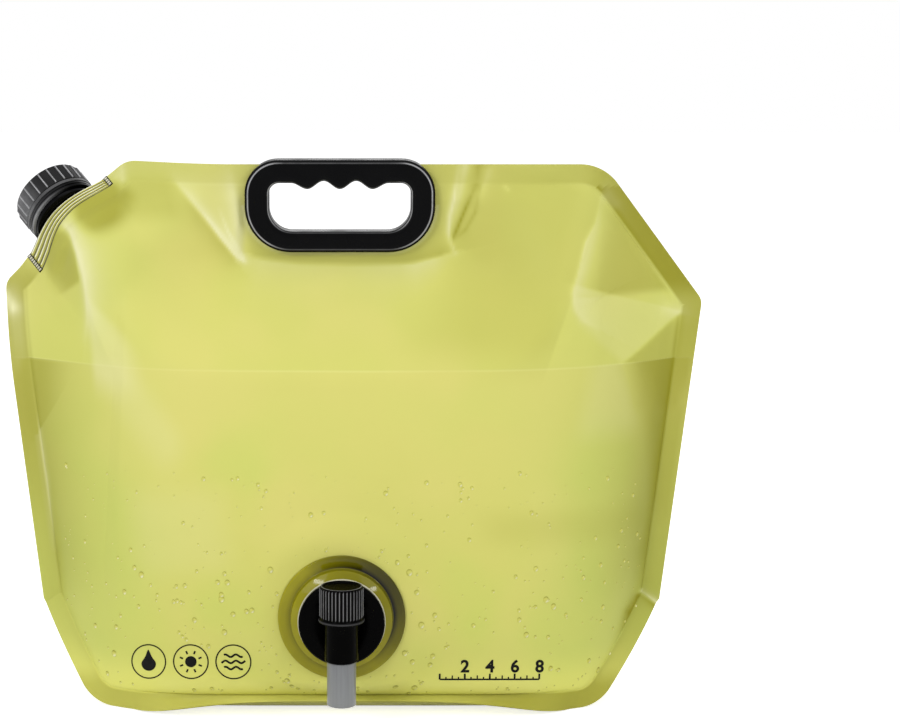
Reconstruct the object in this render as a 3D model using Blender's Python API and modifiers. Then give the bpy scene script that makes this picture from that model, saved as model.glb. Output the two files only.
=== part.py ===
"""Collapsible water carrier: a welded film bag with a bottom gusset, a clamped hand grip,
a screw-capped filler spout in one sloped corner and a screw-in tap low on the front.
Units are metres, +Z is up, the front faces -Y and the bag stands on Z = 0."""

import math

import bmesh
import bpy
from mathutils import Matrix, Vector

# Film and its seals
FILM = 0.0006
FILM_GAP = 0.0003
CLEARANCE = 0.0003
MERGE_DISTANCE = 0.00001
SEAL_WIDTH = 0.011

# Outer outline of the bag, seen from the front
HEIGHT = 0.2915
HALF_WIDTH = 0.1895
LEFT_CORNER_RUN = 0.0665
LEFT_CORNER_DROP = 0.0665
RIGHT_CORNER_RUN = 0.0545
RIGHT_CORNER_DROP = 0.073
SIDE_TAPER = 0.0190
TIP_HEIGHT = 0.051
LEFT_FOOT_CUT = 0.0305
RIGHT_FOOT_CUT = 0.037
FOOT_LIFT = 0.0005
TOP_LEFT_ROUND = 0.004
TOP_RIGHT_ROUND = 0.014
FOOT_ROUND = 0.010

# How the filled bag swells
SEAT_DEPTH = 0.048
SWELL_DEPTH = 0.0325
SEAT_POWER_SHARE = 6.0
ACROSS_POWER_SHARE = 2.6
ACROSS_ROUND_SHARE = 0.85
LOW_POWER_SHARE = 0.6
HIGH_POWER_SHARE = 0.8
FIN_TILT_SHARE = 0.07
FIN_TURN_SHARE = 4.0
FLOOR_INSET = 0.0295
FLOOR_SHARE = 0.72
FLOOR_RISE_SHARE = 1.6

# Hand grip
GRIP_X = -0.0062
GRIP_WIDTH = 0.102
GRIP_HEIGHT = 0.0495
GRIP_ABOVE_FILM = 0.0028
GRIP_TOP_ROUND = 0.018
GRIP_BOTTOM_ROUND = 0.025
GRIP_HALF_DEPTH = 0.0072
GRIP_EDGE_ROUND = 0.0022
END_BAR = 0.0131
TOP_BAR = 0.0124
LOWER_BAR = 0.0113
WINDOW_TOP_ROUND = 0.0055
WINDOW_BOTTOM_ROUND = 0.0125
TOOTH_PITCH = 0.0174
TOOTH_DROP = 0.0032
SCALLOP_RISE = 0.0011
RIM_WIDTH = 0.0018
POST_RADIUS = 0.0019
POST_LENGTH = 0.0042
SLACK_BELOW_GRIP = 0.064
SLACK_ASIDE = 0.012

# Filler spout in the left sloped corner
SPOUT_PLACE_SHARE = 0.53
SPOUT_LEAN = math.radians(37.0)
LEAN_STRAIGHT = 0.014
LEAN_BEND = 0.031
CANOE_LENGTH = 0.058
CANOE_DEPTH = 0.024
CANOE_HEIGHT = 0.0115
CANOE_TIP_DEPTH = 0.0016
CANOE_POWER_SHARE = 1.35
CANOE_FILM_SLACK = 0.0007
CANOE_FADE = 0.040
NECK_RADIUS = 0.0165
NECK_BORE_RADIUS = 0.0128
NECK_TOP = 0.0178
CANOE_BORE_RADIUS = 0.0098
SPOUT_FLANGE_RADIUS = 0.0192
SPOUT_FLANGE_THICKNESS = 0.0022
NECK_BEAD_RADIUS = 0.0178
NECK_BEAD_HEIGHT = 0.0016
RING_RADIUS = 0.0206
RING_HEIGHT = 0.0036
RING_WALL = 0.0016
CAP_RADIUS = 0.0205
CAP_RIB_HEIGHT = 0.0007
CAP_RIB_COUNT = 24
CAP_RIB_STEPS = 3
CAP_HEIGHT = 0.0145
CAP_EDGE_ROUND = 0.0012
CAP_BAND_HEIGHT = 0.0021
LINER_THICKNESS = 0.0012

# Tap: the port welded to the front film
TAP_X = -0.0052
TAP_Z = 0.0592
TAP_PROUD = 0.0175
TAP_FLAT_RADIUS = 0.036
TAP_FLAT_FADE = 0.022
FILM_HOLE_RADIUS = 0.0238
FLANGE_RADIUS = 0.0336
FLANGE_THICKNESS = 0.0018
COLLAR_RADIUS = 0.0268
COLLAR_HEIGHT = 0.0085
COLLAR_BORE_RADIUS = 0.0208
COLLAR_ROUND = 0.0024
GASKET_RADIUS = 0.0231
GASKET_THICKNESS = 0.0012

# Tap: the screwed base and the faucet
DISC_RADIUS = 0.0226
DISC_THICKNESS = 0.0034
PLUG_RADIUS = 0.0201
PLUG_LENGTH = 0.0078
PLUG_WALL = 0.0024
SHANK_RADIUS = 0.0056
SHANK_BORE_RADIUS = 0.0034
SHANK_DROP = 0.0020
SHANK_INSIDE = 0.0090
SHANK_SHOULDER_RADIUS = 0.0066
SHANK_SHOULDER_LENGTH = 0.0016
NUT_RADIUS = 0.0100
NUT_LENGTH = 0.0050
RING_CORD_RADIUS = 0.0009
BARREL_FORWARD = 0.0130
BARREL_RADIUS = 0.0088
BARREL_TOP = 0.0078
BARREL_BOTTOM = 0.0158
BARREL_BORE_RADIUS = 0.0059
BARREL_FLOOR = 0.0096
OUTLET_BORE_RADIUS = 0.0044
BEAD_RISE = 0.0005
BEAD_HEIGHT = 0.0012
SPIGOT_RADIUS = 0.0060
SPIGOT_LENGTH = 0.0120
TUBE_RADIUS = 0.0076
TUBE_LENGTH = 0.0236
CORE_GAP = 0.0006
CORE_PORT_RADIUS = 0.0030
CORE_RING_CORD_RADIUS = 0.0007
CORE_GROOVE_HEIGHT = 0.0020
CORE_RING_INSET = 0.0017
STEM_RADIUS = 0.0034
STEM_HEIGHT = 0.0100
STEM_FLAT_SHARE = 0.7
KNOB_RADIUS = 0.0109
KNOB_RIB_HEIGHT = 0.0006
KNOB_RIB_COUNT = 28
KNOB_SKIRT_RADIUS = 0.0120
KNOB_SKIRT_HEIGHT = 0.0022
KNOB_HEIGHT = 0.0190
KNOB_DISH = 0.0010
KNOB_DISH_SHARE = 0.85
KNOB_ROUND = 0.0012
KNOB_LIP_HEIGHT = 0.0012

# Fineness of the round pieces and of the film's grid
ROUND_STEPS = 34
SMALL_STEPS = 24
POST_STEPS = 8
CORE_STEPS = 20
SEAL_RING_STEPS = 20
SEAL_RING_SIDES = 6
BARREL_STEPS = 32
CORE_PORT_STEPS = 12
GRIP_ARC_STEPS = 4
GRIP_RUN_STEPS = (28, 2, 4, 2)
COLUMN_COUNTS = (7, 2, 8, 3, 5)
FIRST_COLUMN_SHARE = 0.3
GRIP_TOP_Z = HEIGHT + GRIP_ABOVE_FILM
GRIP_LOW_Z = GRIP_TOP_Z - GRIP_HEIGHT - CLEARANCE
GRIP_ROW_SHARE = (GRIP_LOW_Z - FOOT_LIFT - SEAL_WIDTH) / (HEIGHT - FOOT_LIFT - 2 * SEAL_WIDTH)
ROW_SHARES = (0.0, 0.045, 0.12, 0.21, 0.32, 0.44, 0.56, 0.67, 0.77, GRIP_ROW_SHARE, 0.94, 1.0)
GUSSET_SHARES = (-1.0, -0.92, -0.82, -0.7, 0.0, 0.7, 0.82, 0.92, 1.0)
CUT_OVERRUN = 0.004

FILM_OFFSET = FILM_GAP / 2 + FILM
SPOUT_BASE = SPOUT_FLANGE_THICKNESS + 2 * CLEARANCE
TIP_X = HALF_WIDTH - SIDE_TAPER
TIP_Z = TIP_HEIGHT + FOOT_LIFT
LEFT_FOOT_X = TIP_X - LEFT_FOOT_CUT
RIGHT_FOOT_X = TIP_X - RIGHT_FOOT_CUT
FLOOR_HALF_X = min(LEFT_FOOT_X, RIGHT_FOOT_X) - FLOOR_INSET
TAP_SEAT = SEAT_DEPTH + TAP_PROUD
WINDOW_WIDTH = GRIP_WIDTH - 2 * END_BAR
WINDOW_HEIGHT = GRIP_HEIGHT - TOP_BAR - LOWER_BAR


# Materials
def material(name, colour, roughness, metallic=0.0):
    made = bpy.data.materials.new(name)
    made.use_nodes = True
    shader = made.node_tree.nodes["Principled BSDF"]
    shader.inputs["Base Color"].default_value = (*colour, 1.0)
    shader.inputs["Roughness"].default_value = roughness
    shader.inputs["Metallic"].default_value = metallic
    return made


# Scene helpers
def empty(name, matrix, parent=None):
    made = bpy.data.objects.new(name, None)
    PARTS.objects.link(made)
    made.parent = parent
    made.matrix_local = matrix
    return made


def solid(name, mesh, finish, parent=None, cutter=False):
    made = bpy.data.objects.new(name, mesh)
    (CUTTERS if cutter else PARTS).objects.link(made)
    made.parent = parent
    if cutter:
        made.hide_render = True
        made.display_type = "WIRE"
    else:
        mesh.materials.append(finish)
    return made


def mesh_from(bm, name):
    bmesh.ops.recalc_face_normals(bm, faces=bm.faces)
    mesh = bpy.data.meshes.new(name)
    bm.to_mesh(mesh)
    bm.free()
    return mesh


def smooth(obj, angle=math.radians(35.0)):
    obj.data.shade_smooth()
    obj.data.set_sharp_from_angle(angle=angle)
    return obj


def boolean(target, other, operation):
    modifier = target.modifiers.new(operation.lower() + "_" + other.name, "BOOLEAN")
    modifier.operation = operation
    modifier.solver = "EXACT"
    modifier.object = other


def ring_stack(name, rings, count, finish, parent, rib):
    """A round solid through rings of (radius, height, rib share). A ring of radius zero is
    one point, and a stack that starts and ends off the axis is closed on itself."""
    bm = bmesh.new()
    loops = []
    for radius, height, rib_share in rings:
        if radius == 0.0:
            loops.append([bm.verts.new((0.0, 0.0, height))])
            continue
        loop = []
        for step in range(count):
            angle = 2 * math.pi * step / count
            reach = radius + rib(step) * rib_share
            loop.append(bm.verts.new((reach * math.cos(angle), reach * math.sin(angle), height)))
        loops.append(loop)
    pairs = list(zip(loops, loops[1:]))
    if len(loops[0]) > 1 and len(loops[-1]) > 1:
        pairs.append((loops[-1], loops[0]))
    for low, high in pairs:
        for step in range(count):
            after = (step + 1) % count
            corners = [low[step % len(low)], low[after % len(low)]]
            corners += [high[after % len(high)], high[step % len(high)]]
            bm.faces.new(list(dict.fromkeys(corners)))
    return smooth(solid(name, mesh_from(bm, name), finish, parent))


def turned(name, profile, finish, parent=None, steps=ROUND_STEPS, cutter=False):
    """A profile of (radius, height) turned about local Z with a Screw modifier. It runs
    down its outer side; a profile off the axis closes on itself."""
    bm = bmesh.new()
    points = [bm.verts.new((radius, 0.0, height)) for radius, height in profile]
    for first, second in zip(points, points[1:]):
        bm.edges.new((first, second))
    if profile[0][0] > 0.0:
        bm.edges.new((points[-1], points[0]))
    mesh = bpy.data.meshes.new(name)
    bm.to_mesh(mesh)
    bm.free()
    made = solid(name, mesh, finish, parent, cutter)
    screw = made.modifiers.new("turn", "SCREW")
    screw.axis = "Z"
    screw.steps = steps
    screw.render_steps = steps
    screw.use_merge_vertices = True
    screw.merge_threshold = MERGE_DISTANCE
    screw.use_smooth_shade = True
    return made


def rod(name, radius, low, high, finish, parent=None, steps=SMALL_STEPS, cutter=False):
    return turned(name, ((0.0, high), (radius, high), (radius, low), (0.0, low)),
                  finish, parent, steps, cutter)


def torus(name, ring_radius, cord_radius, height, finish, parent):
    profile = []
    for side in range(SEAL_RING_SIDES):
        angle = -2 * math.pi * side / SEAL_RING_SIDES
        profile.append((ring_radius + cord_radius * math.cos(angle),
                        height + cord_radius * math.sin(angle)))
    return turned(name, profile, finish, parent, SEAL_RING_STEPS)


def prism(name, points, low, high, finish, parent=None, cutter=False):
    """A flat outline in local X and Y, filled and raised between two heights."""
    curve = bpy.data.curves.new(name, "CURVE")
    curve.dimensions = "2D"
    curve.fill_mode = "BOTH"
    curve.extrude = (high - low) / 2
    spline = curve.splines.new("POLY")
    spline.points.add(len(points) - 1)
    for point, (x, y) in zip(spline.points, points):
        point.co = (x, y, 0.0, 1.0)
    spline.use_cyclic_u = True
    drawn = bpy.data.objects.new(name + "_curve", curve)
    CUTTERS.objects.link(drawn)
    graph = bpy.context.evaluated_depsgraph_get()
    bm = bmesh.new()
    bm.from_mesh(bpy.data.meshes.new_from_object(drawn.evaluated_get(graph)))
    bmesh.ops.remove_doubles(bm, verts=bm.verts, dist=MERGE_DISTANCE)
    bmesh.ops.translate(bm, verts=bm.verts, vec=(0.0, 0.0, (low + high) / 2))
    bpy.data.objects.remove(drawn)
    return solid(name, mesh_from(bm, name), finish, parent, cutter)


# Outline of the film, in (x, z)
def inset(corners, distance):
    """Corners of the outline moved inwards by the seal's width; they run clockwise."""
    moved = []
    for index, corner in enumerate(corners):
        before = (corner - corners[index - 1]).normalized()
        after = (corners[(index + 1) % len(corners)] - corner).normalized()
        first = Vector((-before.y, before.x))
        second = Vector((-after.y, after.x))
        moved.append(corner - (first + second) * (distance / (1.0 + first.dot(second))))
    return moved


OUTLINE = [
    Vector((-TIP_X, TIP_Z)),
    Vector((-HALF_WIDTH, HEIGHT - LEFT_CORNER_DROP)),
    Vector((LEFT_CORNER_RUN - HALF_WIDTH, HEIGHT)),
    Vector((HALF_WIDTH - RIGHT_CORNER_RUN, HEIGHT)),
    Vector((HALF_WIDTH, HEIGHT - RIGHT_CORNER_DROP)),
    Vector((TIP_X, TIP_Z)),
    Vector((RIGHT_FOOT_X, FOOT_LIFT)),
    Vector((-LEFT_FOOT_X, FOOT_LIFT)),
]
SEAM = inset(OUTLINE, SEAL_WIDTH)
TOP_CORNERS = (SEAM[1], SEAM[2], SEAM[3], SEAM[4])
FOOT_CORNERS = (SEAM[0], SEAM[7], SEAM[6], SEAM[5])


def rounded(corners, rounds, column):
    """Point and outward normal on a path of three straight runs and two arcs, at a column
    counted in COLUMN_COUNTS, the columns on each run or arc."""
    run = 0
    while run < len(COLUMN_COUNTS) - 1 and column > COLUMN_COUNTS[run]:
        column -= COLUMN_COUNTS[run]
        run += 1
    share = column / COLUMN_COUNTS[run]
    ends = [corners[0]]
    centres = []
    for corner, before, after, radius in (
        (corners[1], corners[0], corners[2], rounds[0]),
        (corners[2], corners[1], corners[3], rounds[1]),
    ):
        back = (before - corner).normalized()
        on = (after - corner).normalized()
        half = back.angle(on) / 2
        reach = radius / math.tan(half)
        ends += [corner + back * reach, corner + on * reach]
        centres.append(corner + (back + on).normalized() * (radius / math.sin(half)))
    ends.append(corners[3])
    if run % 2 == 0:
        start, stop = ends[run], ends[run + 1]
        along = (stop - start).normalized()
        normal = Vector((-along.y, along.x))
        if normal.dot(centres[0] - start) > 0.0:
            normal.negate()
        return start.lerp(stop, share), normal
    centre = centres[run // 2]
    first, last = ends[run] - centre, ends[run + 1] - centre
    turn = first.angle_signed(last)
    normal = first.normalized()
    normal.rotate(Matrix.Rotation(-turn * share, 2))
    return centre + normal * first.length, normal


COLUMNS = sum(COLUMN_COUNTS)
SIDE_NORMALS = []
for tip, shoulder, outwards in ((SEAM[0], SEAM[1], -1.0), (SEAM[5], SEAM[4], 1.0)):
    rise = (shoulder - tip).normalized()
    SIDE_NORMALS.append(Vector((outwards * rise.y, -outwards * rise.x)))


# Frame of the spout, on the middle of the left sloped edge
SLOPE = (OUTLINE[2] - OUTLINE[1]).normalized()
SLOPE_OUT = Vector((-SLOPE.y, SLOPE.x))
CANOE_MIDDLE = OUTLINE[1].lerp(OUTLINE[2], SPOUT_PLACE_SHARE)


def lean(x, z):
    """How far the bag's middle sheet leans back near the spout."""
    inside = (Vector((x, z)) - OUTLINE[1]).dot(-SLOPE_OUT)
    slope = math.tan(SPOUT_LEAN)
    if inside <= LEAN_STRAIGHT:
        return slope * (LEAN_STRAIGHT - inside + LEAN_BEND / 2)
    rest = max(0.0, LEAN_STRAIGHT + LEAN_BEND - inside)
    return slope * rest * rest / (2 * LEAN_BEND)


SPOUT_AXIS = Vector((SLOPE_OUT.x * math.cos(SPOUT_LEAN), math.sin(SPOUT_LEAN),
                     SLOPE_OUT.y * math.cos(SPOUT_LEAN)))
SPOUT_ALONG = Vector((SLOPE.x, 0.0, SLOPE.y))
SPOUT_BACK = SPOUT_AXIS.cross(SPOUT_ALONG)
SPOUT_ORIGIN = Vector((CANOE_MIDDLE.x, lean(CANOE_MIDDLE.x, CANOE_MIDDLE.y), CANOE_MIDDLE.y))


def fade(share):
    """Smooth step from 0 to 1."""
    share = min(1.0, max(0.0, share))
    return share * share * (3.0 - 2.0 * share)


def canoe_half_depth(along):
    share = max(0.0, 1.0 - (2 * along / CANOE_LENGTH) ** 2) ** CANOE_POWER_SHARE
    return CANOE_TIP_DEPTH / 2 + (CANOE_DEPTH - CANOE_TIP_DEPTH) / 2 * share


def canoe_spread(x, z):
    """How far the canoe pushes each film off the middle sheet."""
    offset = Vector((x, z)) - CANOE_MIDDLE
    along = offset.dot(SLOPE)
    inside = offset.dot(-SLOPE_OUT)
    beyond = max(0.0, abs(along) - CANOE_LENGTH / 2)
    near = fade(1.0 - beyond / SEAL_WIDTH)
    deep = fade(1.0 - (inside - CANOE_HEIGHT) / CANOE_FADE)
    return (canoe_half_depth(along) + CANOE_FILM_SLACK) * near * deep


def seat_depth(x):
    """Depth of the bottom seam at x: full under the bag, nothing at the side tips."""
    return SEAT_DEPTH * max(0.0, 1.0 - abs(x / SEAM[5].x) ** SEAT_POWER_SHARE)


PEAK_SHARE = LOW_POWER_SHARE / (LOW_POWER_SHARE + HIGH_POWER_SHARE)
PEAK = PEAK_SHARE ** LOW_POWER_SHARE * (1.0 - PEAK_SHARE) ** HIGH_POWER_SHARE


def off_grip(x, z):
    """0 under the hand grip, where both films lie flat, and 1 well away from it."""
    aside = max(0.0, abs(x - GRIP_X) - GRIP_WIDTH / 2 - SLACK_ASIDE)
    below = max(0.0, GRIP_LOW_Z - z)
    return fade(math.hypot(aside, below) / SLACK_BELOW_GRIP)


def film_point(column, row_share, side):
    """Point of a panel inside its seals. side is -1 for the front film and 1 for the back."""
    foot, _ = rounded(FOOT_CORNERS, (FOOT_ROUND, FOOT_ROUND), column)
    top, _ = rounded(TOP_CORNERS, (TOP_LEFT_ROUND, TOP_RIGHT_ROUND), column)
    flat = foot.lerp(top, row_share)
    low, high = (SEAM[0], SEAM[1]) if flat.x < 0.0 else (SEAM[5], SEAM[4])
    edge_x = low.lerp(high, row_share).x
    across = max(0.0, 1.0 - abs(flat.x / edge_x) ** ACROSS_POWER_SHARE) ** ACROSS_ROUND_SHARE
    up = row_share ** LOW_POWER_SHARE * (1.0 - row_share) ** HIGH_POWER_SHARE / PEAK
    depth = (1.0 - row_share) * seat_depth(foot.x) + SWELL_DEPTH * across * up
    depth *= off_grip(flat.x, flat.y)
    if side < 0:
        away = math.hypot(flat.x - TAP_X, flat.y - TAP_Z)
        seated = fade(1.0 - (away - TAP_FLAT_RADIUS) / TAP_FLAT_FADE)
        seated *= fade(row_share / ROW_SHARES[1])
        depth += (TAP_SEAT - depth) * seated
    point = Vector((flat.x, lean(flat.x, flat.y) + side * depth, flat.y))
    return point + SPOUT_BACK * (side * canoe_spread(flat.x, flat.y))


def seal_point(flat, side):
    point = Vector((flat.x, lean(flat.x, flat.y), flat.y))
    return point + SPOUT_BACK * (side * canoe_spread(flat.x, flat.y))


def bottom_seal_point(column, side):
    """Outer edge of the bottom seal: it hangs at the corners and points ahead between them."""
    foot, normal = rounded(FOOT_CORNERS, (FOOT_ROUND, FOOT_ROUND), column)
    middle = max(0.0, 1.0 - abs(foot.x / (SEAM[6].x - FOOT_ROUND)) ** FIN_TURN_SHARE)
    turn = math.pi / 2 * (1.0 - middle * (1.0 - FIN_TILT_SHARE))
    down = SEAL_WIDTH * math.sin(turn)
    ahead = SEAL_WIDTH * math.cos(turn)
    return Vector((foot.x + normal.x * down, side * (seat_depth(foot.x) + ahead),
                   foot.y + normal.y * down))


def film_columns():
    """Columns of the grid, with one more near each tip where the gusset starts."""
    inner = [float(column) for column in range(COLUMNS + 1)]
    inner.insert(1, FIRST_COLUMN_SHARE)
    inner.insert(-1, COLUMNS - FIRST_COLUMN_SHARE)
    return inner


def panel_points(side):
    """Grid of the panel, column by column, from one side seal's edge to the other's."""
    columns = film_columns()
    grid = []
    for end, corner in ((0, OUTLINE[1]), (1, OUTLINE[4])):
        tip = OUTLINE[0] if end == 0 else OUTLINE[5]
        low, high = (SEAM[0], SEAM[1]) if end == 0 else (SEAM[5], SEAM[4])
        line = [seal_point(tip, side)]
        for share in ROW_SHARES:
            line.append(seal_point(low.lerp(high, share) + SIDE_NORMALS[end] * SEAL_WIDTH, side))
        line.append(seal_point(corner, side))
        grid.append(line)
    for column in columns:
        top, normal = rounded(TOP_CORNERS, (TOP_LEFT_ROUND, TOP_RIGHT_ROUND), column)
        line = [bottom_seal_point(column, side)]
        line += [film_point(column, share, side) for share in ROW_SHARES]
        line.append(seal_point(top + normal * SEAL_WIDTH, side))
        grid.insert(-1, line)
    return grid


def gusset_points():
    """Grid of the folded floor, column by column, from the front seal to the back seal."""
    floor = FILM_OFFSET
    grid = []
    for column in film_columns()[1:-1]:
        foot, _ = rounded(FOOT_CORNERS, (FOOT_ROUND, FOOT_ROUND), column)
        reach = max(0.0, abs(foot.x) - FLOOR_HALF_X) / (SEAM[5].x - FLOOR_HALF_X)
        belly = floor + (SEAM[5].y - floor) * reach ** FLOOR_RISE_SHARE
        depth = seat_depth(foot.x)
        line = [bottom_seal_point(column, -1)]
        for share in GUSSET_SHARES:
            rise = max(0.0, abs(share) - FLOOR_SHARE) / (1.0 - FLOOR_SHARE)
            height = belly + (foot.y - belly) * rise ** FLOOR_RISE_SHARE
            line.append(Vector((foot.x, share * depth, height)))
        line.append(bottom_seal_point(column, 1))
        grid.append(line)
    return grid


def film_sheet(name, grid, outward):
    """A welded film: the grid is the side that faces the water, and the film lies outside.
    Each cell is split at its shorter diagonal, so two films in one seal stay parallel."""
    bm = bmesh.new()
    verts = [[bm.verts.new(point) for point in line] for line in grid]
    for line, after in zip(verts, verts[1:]):
        for row in range(len(line) - 1):
            a, b, c, d = line[row], after[row], after[row + 1], line[row + 1]
            short = (a.co - c.co).length < (b.co - d.co).length
            for corners in ((a, b, c), (a, c, d)) if short else ((a, b, d), (b, c, d)):
                bm.faces.new(corners)
    bm.normal_update()
    middle = bm.faces[:][len(bm.faces) // 2]
    if middle.normal.dot(outward) < 0.0:
        bmesh.ops.reverse_faces(bm, faces=bm.faces)
    mesh = bpy.data.meshes.new(name)
    bm.to_mesh(mesh)
    bm.free()
    made = smooth(solid(name, mesh, FILM_FINISH))
    shell = made.modifiers.new("film", "SOLIDIFY")
    shell.thickness = FILM
    shell.offset = 1.0 + FILM_GAP / FILM
    shell.use_even_offset = False
    return made


# Hand grip, drawn in (x, z) about the grip's middle
def loop_of(corners, rounds, counts):
    """Closed outline through four rounded corners, with counts points on each run and arc."""
    points = []
    for index, (corner, radius) in enumerate(zip(corners, rounds)):
        before, after = corners[index - 1], corners[(index + 1) % 4]
        back = (before - corner).normalized()
        on = (after - corner).normalized()
        centre = corner + (back + on) * radius
        for step in range(counts[0]):
            angle = math.pi / 2 * step / counts[0]
            points.append(centre - (on * math.cos(angle) + back * math.sin(angle)) * radius)
        start = corner + on * radius
        stop = after - on * rounds[(index + 1) % 4]
        steps = counts[1 + index]
        points += [start.lerp(stop, step / steps) for step in range(steps)]
    return points


def box_corners(width, high, low):
    half = width / 2
    return [Vector((-half, high)), Vector((half, high)), Vector((half, low)), Vector((-half, low))]


def grip_outer(shrink):
    half = GRIP_HEIGHT / 2 - shrink
    corners = box_corners(GRIP_WIDTH - 2 * shrink, half, -half)
    low_round = min(GRIP_BOTTOM_ROUND, GRIP_HEIGHT - GRIP_TOP_ROUND - GRIP_EDGE_ROUND)
    rounds = [GRIP_TOP_ROUND - shrink] * 2 + [low_round - shrink] * 2
    return loop_of(corners, rounds, (GRIP_ARC_STEPS, *GRIP_RUN_STEPS))


def tooth_line(x):
    """Height of the window's top edge against its flat ends: teeth drop, scallops rise."""
    reach = abs(x)
    middle = (SCALLOP_RISE - TOOTH_DROP) / 2
    swing = (SCALLOP_RISE + TOOTH_DROP) / 2
    if reach < TOOTH_PITCH:
        return middle - swing * math.cos(2 * math.pi * reach / TOOTH_PITCH)
    share = min(1.0, (reach - TOOTH_PITCH) / (TOOTH_PITCH / 2))
    return -TOOTH_DROP * (1.0 + math.cos(math.pi * share)) / 2


def plain_window(grow, run_steps):
    high = GRIP_HEIGHT / 2 - TOP_BAR
    corners = box_corners(WINDOW_WIDTH + 2 * grow, high + grow, high - WINDOW_HEIGHT - grow)
    low_round = min(WINDOW_BOTTOM_ROUND, WINDOW_HEIGHT - WINDOW_TOP_ROUND - RIM_WIDTH)
    rounds = [WINDOW_TOP_ROUND + grow] * 2 + [low_round + grow] * 2
    return loop_of(corners, rounds, (GRIP_ARC_STEPS, *run_steps))


def window_loop(grow):
    points = plain_window(grow, GRIP_RUN_STEPS)
    for index in range(GRIP_ARC_STEPS, GRIP_ARC_STEPS + GRIP_RUN_STEPS[0]):
        points[index].y += tooth_line(points[index].x)
    return points


GRIP_PARENT_Z = GRIP_TOP_Z - GRIP_HEIGHT / 2


def grip_half(name, side):
    """One moulded half: rounded outside, a shallow seat for the film and a rim in its hole."""
    face = GRIP_HALF_DEPTH
    seat = FILM_OFFSET + CLEARANCE
    meet = CLEARANCE / 2
    curl = GRIP_EDGE_ROUND
    third = curl * (1.0 - math.cos(math.pi / 4))
    loops = (
        (grip_outer(0.0), seat),
        (grip_outer(0.0), face - curl),
        (grip_outer(third), face - third),
        (grip_outer(curl), face),
        (window_loop(curl), face),
        (window_loop(third), face - third),
        (window_loop(0.0), face - curl),
        (window_loop(0.0), meet),
        (window_loop(RIM_WIDTH), meet),
        (window_loop(RIM_WIDTH), seat),
    )
    bm = bmesh.new()
    rings = [[bm.verts.new((p.x, side * depth, p.y)) for p in points] for points, depth in loops]
    for ring, after in zip(rings, rings[1:] + rings[:1]):
        for index in range(len(ring)):
            on = (index + 1) % len(ring)
            bm.faces.new((ring[index], ring[on], after[on], after[index]))
    return smooth(solid(name, mesh_from(bm, name), BLACK_FINISH, GRIP_MIDDLE))


def post_places():
    """The snap posts stand on the grip's ring: two at each end and two in the lower bar."""
    across = (GRIP_WIDTH + WINDOW_WIDTH) / 4
    window_low = GRIP_HEIGHT / 2 - TOP_BAR - WINDOW_HEIGHT
    low = (window_low - GRIP_HEIGHT / 2) / 2
    rise = WINDOW_HEIGHT / 3
    places = [(sign * across, level * rise) for sign in (-1, 1) for level in (-1, 1)]
    return places + [(sign * TOOTH_PITCH, low) for sign in (-1, 1)]


def build_grip(panels):
    front = grip_half("handle_front", -1)
    back = grip_half("handle_back", 1)
    seat = FILM_OFFSET + CLEARANCE
    root = -seat - POST_LENGTH / 4
    mouth = seat - CUT_OVERRUN / 4
    for number, (x, z) in enumerate(post_places(), 1):
        place = Matrix.Translation((x, 0.0, z)) @ FORWARDS
        stand = empty(f"post_axis_{number}", place, GRIP_MIDDLE)
        post = rod(f"post_{number}", POST_RADIUS, root, POST_LENGTH, None, stand, POST_STEPS, True)
        boolean(back, post, "UNION")
        socket = rod(f"socket_{number}", POST_RADIUS + CLEARANCE, mouth, POST_LENGTH + CLEARANCE,
                     None, stand, POST_STEPS, True)
        boolean(front, socket, "DIFFERENCE")
        hole = rod(f"film_hole_{number}", POST_RADIUS + 2 * CLEARANCE, -seat, seat, None, stand,
                   POST_STEPS, True)
        for panel in panels:
            boolean(panel, hole, "DIFFERENCE")
    clear = RIM_WIDTH + 2 * CLEARANCE + SCALLOP_RISE
    points = [(p.x, p.y) for p in plain_window(clear, (1, 1, 1, 1))]
    window = prism("film_window", points, -CUT_OVERRUN, CUT_OVERRUN, None, GRIP_FLAT, True)
    for panel in panels:
        boolean(panel, window, "DIFFERENCE")


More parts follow.
